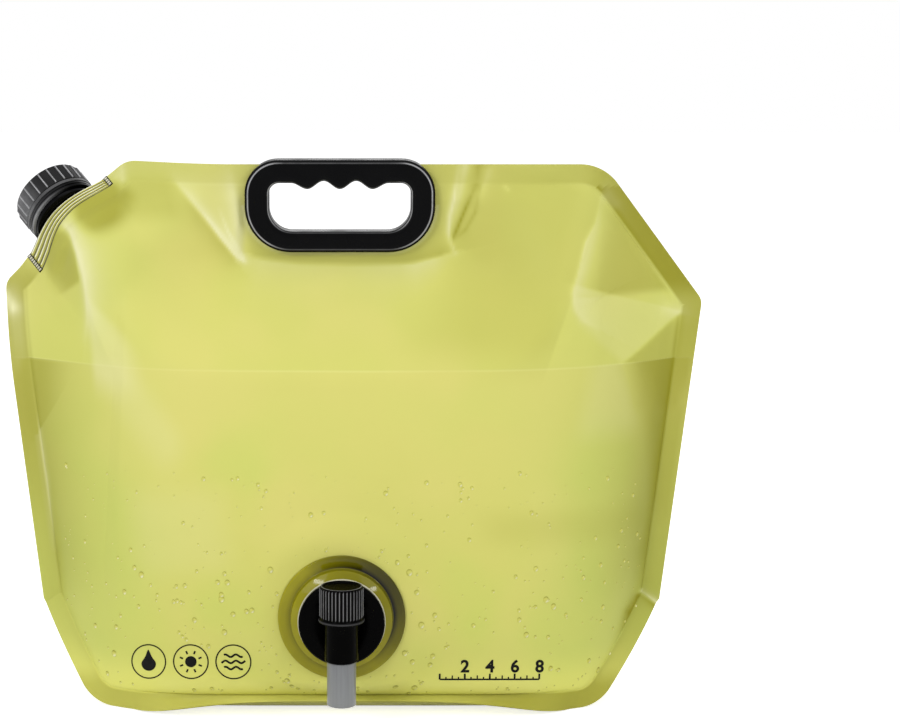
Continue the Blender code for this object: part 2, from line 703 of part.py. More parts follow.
# Filler spout, in the frame whose Z is the spout's axis and X the sloped edge
def build_spout():
    places = [CANOE_LENGTH * (step / SMALL_STEPS - 0.5) for step in range(SMALL_STEPS + 1)]
    upper = [(along, canoe_half_depth(along)) for along in places]
    outline = upper + [(x, -y) for x, y in reversed(upper)]
    fitment = prism("spout_fitment", outline, -CANOE_HEIGHT, CLEARANCE * 2, BLACK_FINISH, SPOUT)
    low = CLEARANCE
    flange = SPOUT_BASE
    bead_low = flange + CLEARANCE + RING_HEIGHT + CLEARANCE / 2 - NECK_BEAD_HEIGHT
    neck = turned("neck", (
        (0.0, NECK_TOP),
        (NECK_RADIUS, NECK_TOP),
        (NECK_RADIUS, bead_low + NECK_BEAD_HEIGHT),
        (NECK_BEAD_RADIUS, bead_low + NECK_BEAD_HEIGHT / 2),
        (NECK_BEAD_RADIUS, bead_low),
        (NECK_RADIUS, bead_low),
        (NECK_RADIUS, flange),
        (SPOUT_FLANGE_RADIUS, flange),
        (SPOUT_FLANGE_RADIUS, low),
        (0.0, low),
    ), BLACK_FINISH, SPOUT, cutter=True)
    boolean(fitment, neck, "UNION")
    bore = turned("neck_bore", (
        (0.0, NECK_TOP + CUT_OVERRUN),
        (NECK_BORE_RADIUS, NECK_TOP + CUT_OVERRUN),
        (NECK_BORE_RADIUS, flange + NECK_BORE_RADIUS - CANOE_BORE_RADIUS),
        (CANOE_BORE_RADIUS, flange),
        (CANOE_BORE_RADIUS, -CANOE_HEIGHT - CUT_OVERRUN),
        (0.0, -CANOE_HEIGHT - CUT_OVERRUN),
    ), None, SPOUT, steps=SMALL_STEPS, cutter=True)
    boolean(fitment, bore, "DIFFERENCE")

    ring_low = flange + CLEARANCE
    ring_high = ring_low + RING_HEIGHT
    bead_room = NECK_BEAD_RADIUS + CLEARANCE
    lip = (NECK_RADIUS + NECK_BEAD_RADIUS) / 2
    turned("tamper_ring", (
        (RING_RADIUS, ring_high),
        (RING_RADIUS, ring_low),
        (lip, ring_low),
        (lip, bead_low - CLEARANCE),
        (bead_room, bead_low - CLEARANCE),
        (bead_room, ring_high),
    ), BLACK_FINISH, SPOUT)

    cap_low = ring_high + CLEARANCE
    cap_top = cap_low + CAP_HEIGHT
    room = NECK_RADIUS + CLEARANCE * 2
    liner_low = NECK_TOP + CLEARANCE
    liner_high = liner_low + LINER_THICKNESS
    ceiling = liner_high + CLEARANCE
    turned("cap_liner", (
        (0.0, liner_high),
        (room - CLEARANCE * 2, liner_high),
        (room - CLEARANCE * 2, liner_low),
        (0.0, liner_low),
    ), PALE_FINISH, SPOUT)
    turn = empty("cap_axis", Matrix.Identity(4), SPOUT)

    def rib(step):
        return CAP_RIB_HEIGHT if step % CAP_RIB_STEPS else 0.0

    ring_stack("filler_cap", (
        (0.0, ceiling, 0.0),
        (room, ceiling, 0.0),
        (room, cap_low, 0.0),
        (CAP_RADIUS, cap_low, 0.0),
        (CAP_RADIUS, cap_low + CAP_BAND_HEIGHT, 0.0),
        (CAP_RADIUS, cap_low + CAP_BAND_HEIGHT + CAP_RIB_HEIGHT, 1.0),
        (CAP_RADIUS, cap_top - CAP_EDGE_ROUND, 1.0),
        (CAP_RADIUS - CAP_EDGE_ROUND, cap_top, 0.0),
        (0.0, cap_top, 0.0),
    ), CAP_RIB_STEPS * CAP_RIB_COUNT, BLACK_FINISH, turn, rib)


# Tap port and screwed base, in the frame whose Z points out of the front
def build_port(panel):
    hole = rod("port_hole", FILM_HOLE_RADIUS, -CUT_OVERRUN, CUT_OVERRUN, None, PORT,
               ROUND_STEPS, True)
    boolean(panel, hole, "DIFFERENCE")
    low = FILM_OFFSET + CLEARANCE
    flange = low + FLANGE_THICKNESS
    high = low + COLLAR_HEIGHT
    turned("tap_flange", (
        (COLLAR_RADIUS - COLLAR_ROUND, high),
        (COLLAR_RADIUS - COLLAR_ROUND / 4, high - COLLAR_ROUND / 4),
        (COLLAR_RADIUS, high - COLLAR_ROUND),
        (COLLAR_RADIUS, flange + COLLAR_ROUND),
        (COLLAR_RADIUS + COLLAR_ROUND, flange),
        (FLANGE_RADIUS - FLANGE_THICKNESS / 2, flange),
        (FLANGE_RADIUS, low + FLANGE_THICKNESS / 2),
        (FLANGE_RADIUS, low),
        (COLLAR_BORE_RADIUS, low),
        (COLLAR_BORE_RADIUS, high),
    ), PORT_FINISH, PORT)
    gasket_low = high + CLEARANCE
    gasket_high = gasket_low + GASKET_THICKNESS
    inner = COLLAR_BORE_RADIUS
    turned("tap_gasket", ((GASKET_RADIUS, gasket_high), (GASKET_RADIUS, gasket_low),
                          (inner, gasket_low), (inner, gasket_high)), PALE_FINISH, PORT)
    disc_low = gasket_high + CLEARANCE
    disc_high = disc_low + DISC_THICKNESS
    turn = empty("tap_axis", Matrix.Identity(4), PORT)
    chamfer = DISC_THICKNESS / 4
    plug_inner = PLUG_RADIUS - PLUG_WALL
    base = turned("tap_screw_base", (
        (0.0, disc_high - chamfer),
        (SHANK_SHOULDER_RADIUS * 2, disc_high - chamfer),
        (SHANK_SHOULDER_RADIUS * 2 + chamfer, disc_high),
        (DISC_RADIUS - chamfer, disc_high),
        (DISC_RADIUS, disc_high - chamfer),
        (DISC_RADIUS, disc_low),
        (PLUG_RADIUS, disc_low),
        (PLUG_RADIUS, disc_low - PLUG_LENGTH),
        (plug_inner, disc_low - PLUG_LENGTH),
        (plug_inner, disc_low),
        (0.0, disc_low),
    ), BLACK_FINISH, turn)
    return turn, base, disc_low, disc_high - chamfer


def build_faucet(turn, base, disc_low, disc_high):
    """Shank, barrel and knob. The barrel stands on end in front of the disc."""
    shank = empty("shank_axis", Matrix.Translation((0.0, -SHANK_DROP, 0.0)), turn)
    barrel_at = disc_high + CLEARANCE + BARREL_FORWARD
    upright = Matrix.Translation((0.0, 0.0, barrel_at)) @ Matrix.Rotation(-math.pi / 2, 4, "X")
    barrel = empty("barrel_axis", upright, turn)
    passage = rod("shank_passage", SHANK_RADIUS + CLEARANCE, disc_low - CUT_OVERRUN,
                  disc_high + CUT_OVERRUN, None, shank, cutter=True)
    boolean(base, passage, "DIFFERENCE")
    ring_centre = SHANK_RADIUS + RING_CORD_RADIUS + CLEARANCE / 2
    groove = rod("shank_groove", ring_centre + RING_CORD_RADIUS + CLEARANCE / 2,
                 disc_low - CUT_OVERRUN, disc_low + 2 * RING_CORD_RADIUS + CLEARANCE,
                 None, shank, cutter=True)
    boolean(base, groove, "DIFFERENCE")
    torus("shank_oring", ring_centre, RING_CORD_RADIUS,
          disc_low + RING_CORD_RADIUS + CLEARANCE / 2, PALE_FINISH, shank)
    nut_high = disc_low - CLEARANCE
    nut_low = nut_high - NUT_LENGTH
    angles = [math.pi / 3 * corner for corner in range(6)]
    corners = [(NUT_RADIUS * math.cos(angle), NUT_RADIUS * math.sin(angle)) for angle in angles]
    nut = prism("shank_nut", corners, nut_low, nut_high, BLACK_FINISH, shank)
    nut_bore = rod("nut_bore", SHANK_RADIUS + CLEARANCE, nut_low - CUT_OVERRUN,
                   nut_high + CUT_OVERRUN, None, shank, cutter=True)
    boolean(nut, nut_bore, "DIFFERENCE")

    body = turned("tap_body", (
        (0.0, BARREL_TOP),
        (BARREL_RADIUS, BARREL_TOP),
        (BARREL_RADIUS + BEAD_RISE, BARREL_TOP - BEAD_HEIGHT / 2),
        (BARREL_RADIUS + BEAD_RISE, BARREL_TOP - BEAD_HEIGHT),
        (BARREL_RADIUS, BARREL_TOP - BEAD_HEIGHT),
        (BARREL_RADIUS, -BARREL_BOTTOM + BEAD_RISE),
        (BARREL_RADIUS - BEAD_RISE, -BARREL_BOTTOM),
        (SPIGOT_RADIUS, -BARREL_BOTTOM),
        (SPIGOT_RADIUS, -BARREL_BOTTOM - SPIGOT_LENGTH + BEAD_RISE),
        (SPIGOT_RADIUS - BEAD_RISE, -BARREL_BOTTOM - SPIGOT_LENGTH),
        (0.0, -BARREL_BOTTOM - SPIGOT_LENGTH),
    ), BLACK_FINISH, barrel, steps=BARREL_STEPS)
    shank_low = nut_low - SHANK_INSIDE + NUT_LENGTH
    tail = turned("shank", (
        (0.0, barrel_at),
        (SHANK_RADIUS, barrel_at),
        (SHANK_RADIUS, disc_high + CLEARANCE + SHANK_SHOULDER_LENGTH),
        (SHANK_SHOULDER_RADIUS, disc_high + CLEARANCE + SHANK_SHOULDER_LENGTH),
        (SHANK_SHOULDER_RADIUS, disc_high + CLEARANCE),
        (SHANK_RADIUS, disc_high + CLEARANCE),
        (SHANK_RADIUS, shank_low),
        (0.0, shank_low),
    ), None, shank, steps=SMALL_STEPS, cutter=True)
    boolean(body, tail, "UNION")
    water_way = rod("water_way", SHANK_BORE_RADIUS, shank_low - CUT_OVERRUN, barrel_at, None,
                    shank, SMALL_STEPS, True)
    boolean(body, water_way, "DIFFERENCE")
    bore = turned("barrel_bore", (
        (0.0, BARREL_TOP + CUT_OVERRUN),
        (BARREL_BORE_RADIUS, BARREL_TOP + CUT_OVERRUN),
        (BARREL_BORE_RADIUS, -BARREL_FLOOR),
        (OUTLET_BORE_RADIUS, -BARREL_FLOOR),
        (OUTLET_BORE_RADIUS, -BARREL_BOTTOM - SPIGOT_LENGTH - CUT_OVERRUN),
        (0.0, -BARREL_BOTTOM - SPIGOT_LENGTH - CUT_OVERRUN),
    ), None, barrel, SMALL_STEPS, True)
    boolean(body, bore, "DIFFERENCE")

    tube_high = -BARREL_BOTTOM - CLEARANCE
    tube_bore = SPIGOT_RADIUS + CLEARANCE
    turned("outlet_tube", (
        (TUBE_RADIUS, tube_high),
        (TUBE_RADIUS, tube_high - TUBE_LENGTH),
        (tube_bore, tube_high - TUBE_LENGTH),
        (tube_bore, tube_high),
    ), TUBE_FINISH, barrel, steps=BARREL_STEPS)
    build_valve(barrel)


def build_valve(barrel):
    """Rotary plug with two rings, and the ribbed knob that snaps over the barrel's bead."""
    turn = empty("knob_axis", Matrix.Identity(4), barrel)
    core_radius = BARREL_BORE_RADIUS - CORE_GAP
    core_low = -BARREL_FLOOR + CLEARANCE
    core_high = BARREL_TOP
    ring_centre = (core_radius + BARREL_BORE_RADIUS) / 2 - CORE_RING_CORD_RADIUS + CORE_GAP / 4
    floor = ring_centre - CORE_RING_CORD_RADIUS - CORE_GAP / 4
    half = CORE_GROOVE_HEIGHT / 2
    upper = core_high - CORE_RING_INSET
    lower = core_low + CORE_RING_INSET
    stem_high = core_high + STEM_HEIGHT
    core = turned("valve_core", (
        (0.0, stem_high),
        (STEM_RADIUS, stem_high),
        (STEM_RADIUS, core_high),
        (core_radius, core_high),
        (core_radius, upper + half),
        (floor, upper + half),
        (floor, upper - half),
        (core_radius, upper - half),
        (core_radius, lower + half),
        (floor, lower + half),
        (floor, lower - half),
        (core_radius, lower - half),
        (core_radius, core_low),
        (0.0, core_low),
    ), WHITE_FINISH, turn, steps=CORE_STEPS)
    drop = rod("core_drop", CORE_PORT_RADIUS, core_low - CUT_OVERRUN, CORE_PORT_RADIUS / 2, None,
               turn, CORE_PORT_STEPS, True)
    boolean(core, drop, "DIFFERENCE")
    aside = Matrix.Translation((0.0, 0.0, -SHANK_DROP)) @ Matrix.Rotation(math.pi / 2, 4, "Y")
    side = empty("core_port_axis", aside, turn)
    port = rod("core_port", CORE_PORT_RADIUS, 0.0, BARREL_BORE_RADIUS, None, side,
               CORE_PORT_STEPS, True)
    boolean(core, port, "DIFFERENCE")
    stem_flat = STEM_RADIUS * STEM_FLAT_SHARE
    flat = prism("stem_flat", [(stem_flat, -STEM_RADIUS * 2), (STEM_RADIUS * 2, -STEM_RADIUS * 2),
                               (STEM_RADIUS * 2, STEM_RADIUS * 2), (stem_flat, STEM_RADIUS * 2)],
                 core_high + CORE_GROOVE_HEIGHT, stem_high + CUT_OVERRUN, None, turn, True)
    boolean(core, flat, "DIFFERENCE")
    torus("core_oring_upper", ring_centre, CORE_RING_CORD_RADIUS, upper, SEAL_FINISH, turn)
    torus("core_oring_lower", ring_centre, CORE_RING_CORD_RADIUS, lower, SEAL_FINISH, turn)

    knob_low = BARREL_TOP - BEAD_HEIGHT - CLEARANCE - KNOB_LIP_HEIGHT
    knob_high = knob_low + KNOB_HEIGHT
    lip = BARREL_RADIUS + CLEARANCE
    room = BARREL_RADIUS + BEAD_RISE + CLEARANCE
    ledge = knob_low + KNOB_LIP_HEIGHT
    ceiling = core_high + CLEARANCE
    socket_radius = STEM_RADIUS + CLEARANCE
    socket_high = stem_high + CLEARANCE
    dish = (KNOB_RADIUS - KNOB_ROUND) * KNOB_DISH_SHARE

    def rib(step):
        return KNOB_RIB_HEIGHT if step % 2 else 0.0

    ring_stack("tap_knob", (
        (0.0, socket_high, 0.0),
        (socket_radius, socket_high, 0.0),
        (socket_radius, ceiling, 0.0),
        (room, ceiling, 0.0),
        (room, ledge, 0.0),
        (lip, ledge, 0.0),
        (lip, knob_low, 0.0),
        (KNOB_SKIRT_RADIUS, knob_low, 0.0),
        (KNOB_SKIRT_RADIUS, knob_low + KNOB_SKIRT_HEIGHT / 2, 0.0),
        (KNOB_RADIUS, knob_low + KNOB_SKIRT_HEIGHT, 1.0),
        (KNOB_RADIUS, knob_high - KNOB_ROUND, 1.0),
        (KNOB_RADIUS - KNOB_ROUND, knob_high, 0.0),
        (dish, knob_high, 0.0),
        (dish - KNOB_DISH, knob_high - KNOB_DISH, 0.0),
        (0.0, knob_high - KNOB_DISH, 0.0),
    ), 2 * KNOB_RIB_COUNT, BLACK_FINISH, turn, rib)


for old in list(bpy.data.objects):
    bpy.data.objects.remove(old)
PARTS = bpy.data.collections.new("water_carrier")
CUTTERS = bpy.data.collections.new("cutters")
bpy.context.scene.collection.children.link(PARTS)
bpy.context.scene.collection.children.link(CUTTERS)

FILM_FINISH = material("olive_film", (0.66, 0.63, 0.18), 0.32)
BLACK_FINISH = material("black_plastic", (0.012, 0.012, 0.013), 0.38)
PORT_FINISH = material("olive_weld_plastic", (0.28, 0.26, 0.06), 0.25)
PALE_FINISH = material("pale_silicone", (0.62, 0.60, 0.50), 0.5)
SEAL_FINISH = material("seal_rubber", (0.02, 0.02, 0.02), 0.7)
WHITE_FINISH = material("valve_plastic", (0.75, 0.75, 0.73), 0.4)
TUBE_FINISH = material("grey_tube", (0.24, 0.25, 0.24), 0.35)

SPOUT = empty("spout_axis", Matrix((
    (SPOUT_ALONG.x, SPOUT_BACK.x, SPOUT_AXIS.x, SPOUT_ORIGIN.x),
    (SPOUT_ALONG.y, SPOUT_BACK.y, SPOUT_AXIS.y, SPOUT_ORIGIN.y),
    (SPOUT_ALONG.z, SPOUT_BACK.z, SPOUT_AXIS.z, SPOUT_ORIGIN.z),
    (0.0, 0.0, 0.0, 1.0),
)))
FORWARDS = Matrix.Rotation(math.pi / 2, 4, "X")
PORT = empty("port_axis", Matrix.Translation((TAP_X, -TAP_SEAT, TAP_Z)) @ FORWARDS)
GRIP_MIDDLE = empty("grip_middle", Matrix.Translation((GRIP_X, 0.0, GRIP_PARENT_Z)))
GRIP_FLAT = empty("grip_flat", FORWARDS, GRIP_MIDDLE)

front_panel = film_sheet("front_panel", panel_points(-1), Vector((0.0, -1.0, 0.0)))
back_panel = film_sheet("back_panel", panel_points(1), Vector((0.0, 1.0, 0.0)))
film_sheet("bottom_gusset", gusset_points(), Vector((0.0, 0.0, -1.0)))
build_grip((front_panel, back_panel))
build_spout()
build_faucet(*build_port(front_panel))
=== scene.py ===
"""Visual model of the collapsible water carrier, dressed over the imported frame.

Units are metres, +Z is up and the front of the bag faces -Y. The film repeats the formulas
that shaped the solids on a denser grid and adds its folds. The fittings are turned or lofted
from profiles. Every material is a tree of noise and of tones painted on the points.
"""

import math
import random

import bmesh
import bpy
import numpy as np
from mathutils import Matrix, Vector
from mathutils.bvhtree import BVHTree


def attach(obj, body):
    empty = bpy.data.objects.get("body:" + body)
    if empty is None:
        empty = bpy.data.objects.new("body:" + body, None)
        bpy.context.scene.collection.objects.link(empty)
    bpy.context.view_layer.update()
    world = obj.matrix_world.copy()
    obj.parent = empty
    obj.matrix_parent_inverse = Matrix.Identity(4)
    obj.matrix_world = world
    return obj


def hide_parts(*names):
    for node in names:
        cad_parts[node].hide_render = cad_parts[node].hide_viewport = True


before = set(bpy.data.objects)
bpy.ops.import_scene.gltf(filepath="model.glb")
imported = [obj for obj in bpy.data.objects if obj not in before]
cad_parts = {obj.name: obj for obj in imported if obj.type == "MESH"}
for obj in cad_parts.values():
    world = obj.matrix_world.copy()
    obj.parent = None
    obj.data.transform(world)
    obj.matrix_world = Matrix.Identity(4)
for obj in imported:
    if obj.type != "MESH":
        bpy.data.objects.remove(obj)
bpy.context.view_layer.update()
MM = 0.001

# Film and outline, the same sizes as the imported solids
FILM_FACE = 0.00075
SEAL_FACE = 0.0006
SEAL_WIDTH = 0.011
HEIGHT = 0.2915
HALF_WIDTH = 0.1895
LEFT_CORNER = (0.0665, 0.0665)
RIGHT_CORNER = (0.0545, 0.073)
TIP_X = 0.1705
TIP_Z = 0.0515
LEFT_FOOT_X = 0.1400
RIGHT_FOOT_X = 0.1335
FOOT_Z = 0.0005
TOP_ROUNDS = (0.004, 0.014)
FOOT_ROUNDS = (0.010, 0.010)
SHOULDER_ROUND = 0.008
LEFT_TIP_ROUND = 0.006
SEAT_DEPTH = 0.048
SWELL_DEPTH = 0.0325
SWELL_UP_POWERS = (0.6, 0.8)
SWELL_ACROSS_POWERS = (2.6, 0.85)
FLOOR_HALF_X = 0.104
FLOOR_SHARE = 0.72
FLOOR_RISE = 1.6
ROW_SHARE_OF_FLANGE = 0.045
COLUMN_COUNTS = (7, 2, 8, 3, 5)
FIN_TURN = 0.93

# Hand grip
GRIP = Vector((-0.0062, 0.0, 0.26955))
GRIP_WIDTH = 0.102
GRIP_HEIGHT = 0.0495
GRIP_ROUNDS = (0.018, 0.025)
GRIP_HALF_DEPTH = 0.0072
GRIP_EDGE_ROUND = 0.0022
WINDOW_WIDTH = 0.0758
WINDOW_HIGH = 0.01235
WINDOW_HEIGHT = 0.0258
WINDOW_ROUNDS = (0.0055, 0.0125)
TOOTH_PITCH = 0.0174
TOOTH_DROP = 0.0032
SCALLOP_RISE = 0.0011
GRIP_SEAT = 0.00105
GRIP_FOLD_FADE = 0.005
SLACK_BELOW_GRIP = 0.064
SLACK_ASIDE = 0.012

# Filler spout
SPOUT_LEAN = math.radians(37.0)
LEAN_STRAIGHT = 0.014
LEAN_BEND = 0.031
CANOE_LENGTH = 0.058
CANOE_DEPTH = 0.024
CANOE_HEIGHT = 0.0115
CANOE_TIP_DEPTH = 0.0016
CANOE_POWER = 1.35
CANOE_FILM_SLACK = 0.0007
CANOE_FADE = 0.040
SPOUT_FOLD_FREE = 0.002
SPOUT_FOLD_FADE = 0.006

# Tap
TAP = Vector((-0.0052, -0.0655, 0.0592))
TAP_FLAT_RADIUS = 0.036
FILM_HOLE = 0.0248
TAP_FLAT_FADE = 0.022
TAP_FOLD_FREE = 0.0353
TAP_FOLD_FADE = 0.010
BARREL_Y = -0.0927

WATER_LINE = 0.1868


# Colour and node helpers
def srgb(red, green, blue):
    """A colour written as a photo editor shows it, turned to the linear values of a shader."""
    channels = []
    for value in (red / 255, green / 255, blue / 255):
        channels.append(value / 12.92 if value <= 0.04045 else ((value + 0.055) / 1.055) ** 2.4)
    return (*channels, 1.0)


class Nodes:
    """Short ways to add and join the nodes of one tree."""

    def __init__(self, tree):
        self.tree = tree

    def add(self, kind, **settings):
        """A new node with its settings."""
        node = self.tree.nodes.new(kind)
        for key, value in settings.items():
            setattr(node, key, value)
        return node

    def feed(self, socket, value):
        """Links a socket to another node's output, or sets it to a plain value."""
        if isinstance(value, bpy.types.NodeSocket):
            self.tree.links.new(value, socket)
        else:
            socket.default_value = value

    def fed(self, kind, output, values, **settings):
        """Adds a node, feeds its inputs by name or number and returns one output."""
        node = self.add(kind, **settings)
        for socket, value in values.items():
            self.feed(node.inputs[socket], value)
        return node.outputs[output]

    def math(self, operation, first, second=0.0):
        """The result of one operation on two values."""
        return self.fed("ShaderNodeMath", 0, {0: first, 1: second}, operation=operation)


class Finish(Nodes):
    """The nodes of one material, round its Principled shader."""

    def __init__(self, name, **settings):
        self.material = bpy.data.materials.new(name)
        self.material.use_nodes = True
        super().__init__(self.material.node_tree)
        self.shader = self.tree.nodes["Principled BSDF"]
        for socket, value in settings.items():
            self.shader.inputs[socket.replace("_", " ")].default_value = value

    def place(self):
        """The place on the object, in metres."""
        return self.add("ShaderNodeTexCoord").outputs["Object"]

    def along(self, axis):
        """The place along one axis of the object."""
        return self.fed("ShaderNodeSeparateXYZ", axis, {0: self.place()})

    def noise(self, scale, detail=3.0, roughness=0.5, squeeze=None):
        """Noise over the object; squeeze gives how much closer it lies along each axis."""
        place = self.place()
        if squeeze:
            place = self.fed("ShaderNodeMapping", "Vector", {"Vector": place, "Scale": squeeze})
        return self.fed("ShaderNodeTexNoise", "Fac", {
            "Vector": place, "Scale": scale, "Detail": detail, "Roughness": roughness})

    def attribute(self, name):
        """A tone that is painted on the points."""
        return self.add("ShaderNodeAttribute", attribute_name=name).outputs["Fac"]

    def ranged(self, value, low, high, to_low=0.0, to_high=1.0):
        """A value that goes smoothly from one number to another between two limits."""
        return self.fed("ShaderNodeMapRange", "Result", {
            "Value": value, "From Min": low, "From Max": high, "To Min": to_low, "To Max": to_high,
        }, interpolation_type="SMOOTHSTEP")

    def mix(self, share, first, second):
        """The first colour, covered by the second one to a share."""
        return self.fed("ShaderNodeMix", "Result", {"Factor": share, "A": first, "B": second},
                        data_type="RGBA")

    def bump(self, height, strength, distance, before=None):
        """A relief of the surface, laid over the one before it."""
        values = {"Height": height, "Strength": strength, "Distance": distance}
        if before is not None:
            values["Normal"] = before
        return self.fed("ShaderNodeBump", "Normal", values)

    def mottled(self, scale, detail, low, high, first, second):
        """Two colours blended by a range of the noise."""
        return self.mix(self.ranged(self.noise(scale, detail), low, high), first, second)

    # The shader's own sockets, fed with a plain value or another node's output
    def colour(self, value):
        self.feed(self.shader.inputs["Base Color"], value)

    def roughness(self, value):
        self.feed(self.shader.inputs["Roughness"], value)

    def normal(self, value):
        self.feed(self.shader.inputs["Normal"], value)

    def uneven(self, scale, detail, low, high):
        """Gloss that varies between two roughnesses."""
        self.roughness(self.ranged(self.noise(scale, detail), 0.3, 0.7, low, high))

    def grain(self, scale, strength):
        """A fine relief of the surface, 0.2 mm deep."""
        self.normal(self.bump(self.noise(scale, 2.0), strength, 0.0002))


# Materials
def film_material():
    """Clear olive film: paler above the water, deeper below it, dark where welded; tones paint
    shade and highlights.
    """
    made = Finish("olive_film", IOR=1.45, Specular_IOR_Level=0.07)
    height = made.along("Z")
    above = made.mix(made.ranged(height, 0.19, 0.29), srgb(209, 208, 112), srgb(204, 203, 112))
    below = made.mix(made.ranged(height, 0.02, 0.18), srgb(211, 210, 112), srgb(212, 208, 116))
    under = made.math("LESS_THAN", height, WATER_LINE)
    off_line = made.math("ABSOLUTE", made.math("SUBTRACT", height, WATER_LINE))
    # A thin painted highlight along the water line
    line = made.math("MULTIPLY", made.ranged(off_line, 0.0, 0.0009, 1.0, 0.0), 0.35)
    green = made.math("MULTIPLY", made.ranged(made.noise(13.0, 2.0), 0.42, 0.68, 0.0, 0.45),
                      made.ranged(height, 0.12, 0.20, 1.0, 0.15))
    warm = made.ranged(made.noise(17.0, 1.0), 0.46, 0.72, 0.0, 0.45)
    off_middle = made.math("ABSOLUTE", made.along("X"))
    aside = made.math("MULTIPLY", made.ranged(off_middle, 0.07, 0.14, 0.0, 0.55),
                      made.ranged(height, 0.10, 0.19, 1.0, 0.3))
    body = made.mix(under, above, below)
    for share, colour in (
        (line, (228, 225, 150)),
        (green, (196, 211, 104)),
        (warm, (220, 211, 124)),
        (aside, (200, 210, 110)),
        # Painted light lifts the foot, where the belly turns down into shade
        (made.ranged(height, 0.008, 0.040, 0.8, 0.0), (240, 238, 128)),
        # dark and dim are painted shade, band is the welds' colour with painted shade, pale is
        # painted highlight
        (made.math("MULTIPLY", made.attribute("dark"), under), (146, 144, 50)),
        (made.attribute("band"), (150, 146, 46)),
        (made.attribute("dim"), (152, 148, 40)),
        (made.attribute("pale"), (232, 230, 178)),
    ):
        body = made.mix(share, body, srgb(*colour))
    made.colour(body)
    made.uneven(40.0, 4.0, 0.36, 0.46)
    soft = made.bump(made.noise(26.0, 2.0), 0.10, 0.003)
    made.normal(made.bump(made.noise(420.0, 3.0, 0.6), 0.05, 0.0004, soft))
    return made.material


def weld_material():
    """Pressed weld of the film: painted shade in its valleys and painted highlights on its crests.
    """
    made = Finish("olive_weld", Coat_Weight=0.3, Coat_Roughness=0.15, IOR=1.45)
    crest = made.attribute("crest")
    body = made.mix(made.ranged(crest, 0.05, 0.45), srgb(58, 56, 10), srgb(180, 176, 66))
    body = made.mix(made.ranged(crest, 0.82, 1.0), body, srgb(250, 249, 222))
    dust = made.ranged(made.noise(120.0), 0.4, 0.7, 0.0, 0.25)
    made.colour(made.mix(dust, body, srgb(150, 148, 60)))
    made.uneven(90.0, 3.0, 0.26, 0.36)
    made.grain(700.0, 0.06)
    return made.material


def black_material(name, rough, colour, grain, gloss):
    """Moulded black plastic: a fine spark grain, uneven gloss and painted highlights on ribs and
    edges.
    """
    made = Finish(name, IOR=1.5, Specular_IOR_Level=gloss)
    lighter_tone = srgb(*[value + 4 for value in colour])
    body = made.mix(made.ranged(made.noise(60.0, 5.0), 0.45, 0.75, 0.0, 0.5), srgb(*colour), lighter_tone)
    patchy = made.ranged(made.noise(150.0), 0.3, 0.6, 0.75, 1.0)
    # The crest tone is a painted highlight, made patchy, on ribs, rims and edges
    painted_highlight = made.math("MULTIPLY", made.attribute("crest"), patchy)
    made.colour(made.mix(painted_highlight, body, srgb(176, 176, 178)))
    made.uneven(90.0, 4.0, rough - 0.05, rough + 0.09)
    made.grain(1800.0, grain)
    return made.material


def port_material():
    """Glossy olive plastic of the welded tap port, deeper where it is shaded."""
    made = Finish("olive_port", IOR=1.5, Specular_IOR_Level=0.17)
    body = made.mottled(30.0, 3.0, 0.35, 0.65, srgb(144, 138, 14), srgb(158, 151, 22))
    made.colour(made.mix(made.attribute("deep"), body, srgb(8, 5, 0)))
    made.uneven(80.0, 3.0, 0.05, 0.09)
    made.grain(300.0, 0.03)
    return made.material


def tube_material():
    """Smoky soft tube: paler towards its cut end, with faint draw lines along it."""
    made = Finish("grey_tube", Coat_Weight=0.2, Coat_Roughness=0.2, IOR=1.45)
    lines = made.noise(60.0, squeeze=(14.0, 14.0, 0.6))
    fade_up = made.ranged(made.along("Z"), 0.018, 0.047)
    body = made.mix(fade_up, srgb(124, 126, 128), srgb(108, 110, 113))
    made.colour(made.mix(made.ranged(lines, 0.35, 0.65, 0.0, 0.25), body, srgb(138, 140, 142)))
    made.roughness(made.ranged(lines, 0.3, 0.7, 0.3, 0.42))
    made.normal(made.bump(lines, 0.05, 0.0003))
    return made.material


def drop_material():
    """Water beads that condense on the film, with painted shade above and painted glints below."""
    made = Finish("water_bead", IOR=1.33, Specular_IOR_Level=0.2)
    body = made.mottled(500.0, 2.0, 0.3, 0.7, srgb(202, 200, 98), srgb(210, 208, 108))
    body = made.mix(made.attribute("deep"), body, srgb(128, 126, 36))
    made.colour(made.mix(made.attribute("glint"), body, srgb(250, 249, 214)))
    made.uneven(300.0, 2.0, 0.05, 0.10)
    return made.material


def plain_material(name, mottle, low, first, second, uneven, rough, **settings):
    """A finish mottled between two colours, with uneven gloss: mottle is the noise's (scale,
    detail), and the first colour ends where it is under low."""
    made = Finish(name, **settings)
    made.colour(made.mottled(*mottle, low, 0.7, srgb(*first), srgb(*second)))
    made.uneven(uneven, 3.0, *rough)
    return made


def pale_material():
    """Pale silicone of the gasket, the liner and the crimp's teeth."""
    made = plain_material("pale_silicone", (120.0, 3.0), 0.3, (206, 203, 180), (190, 187, 160),
                          200.0, (0.42, 0.56))
    made.grain(900.0, 0.08)
    return made.material


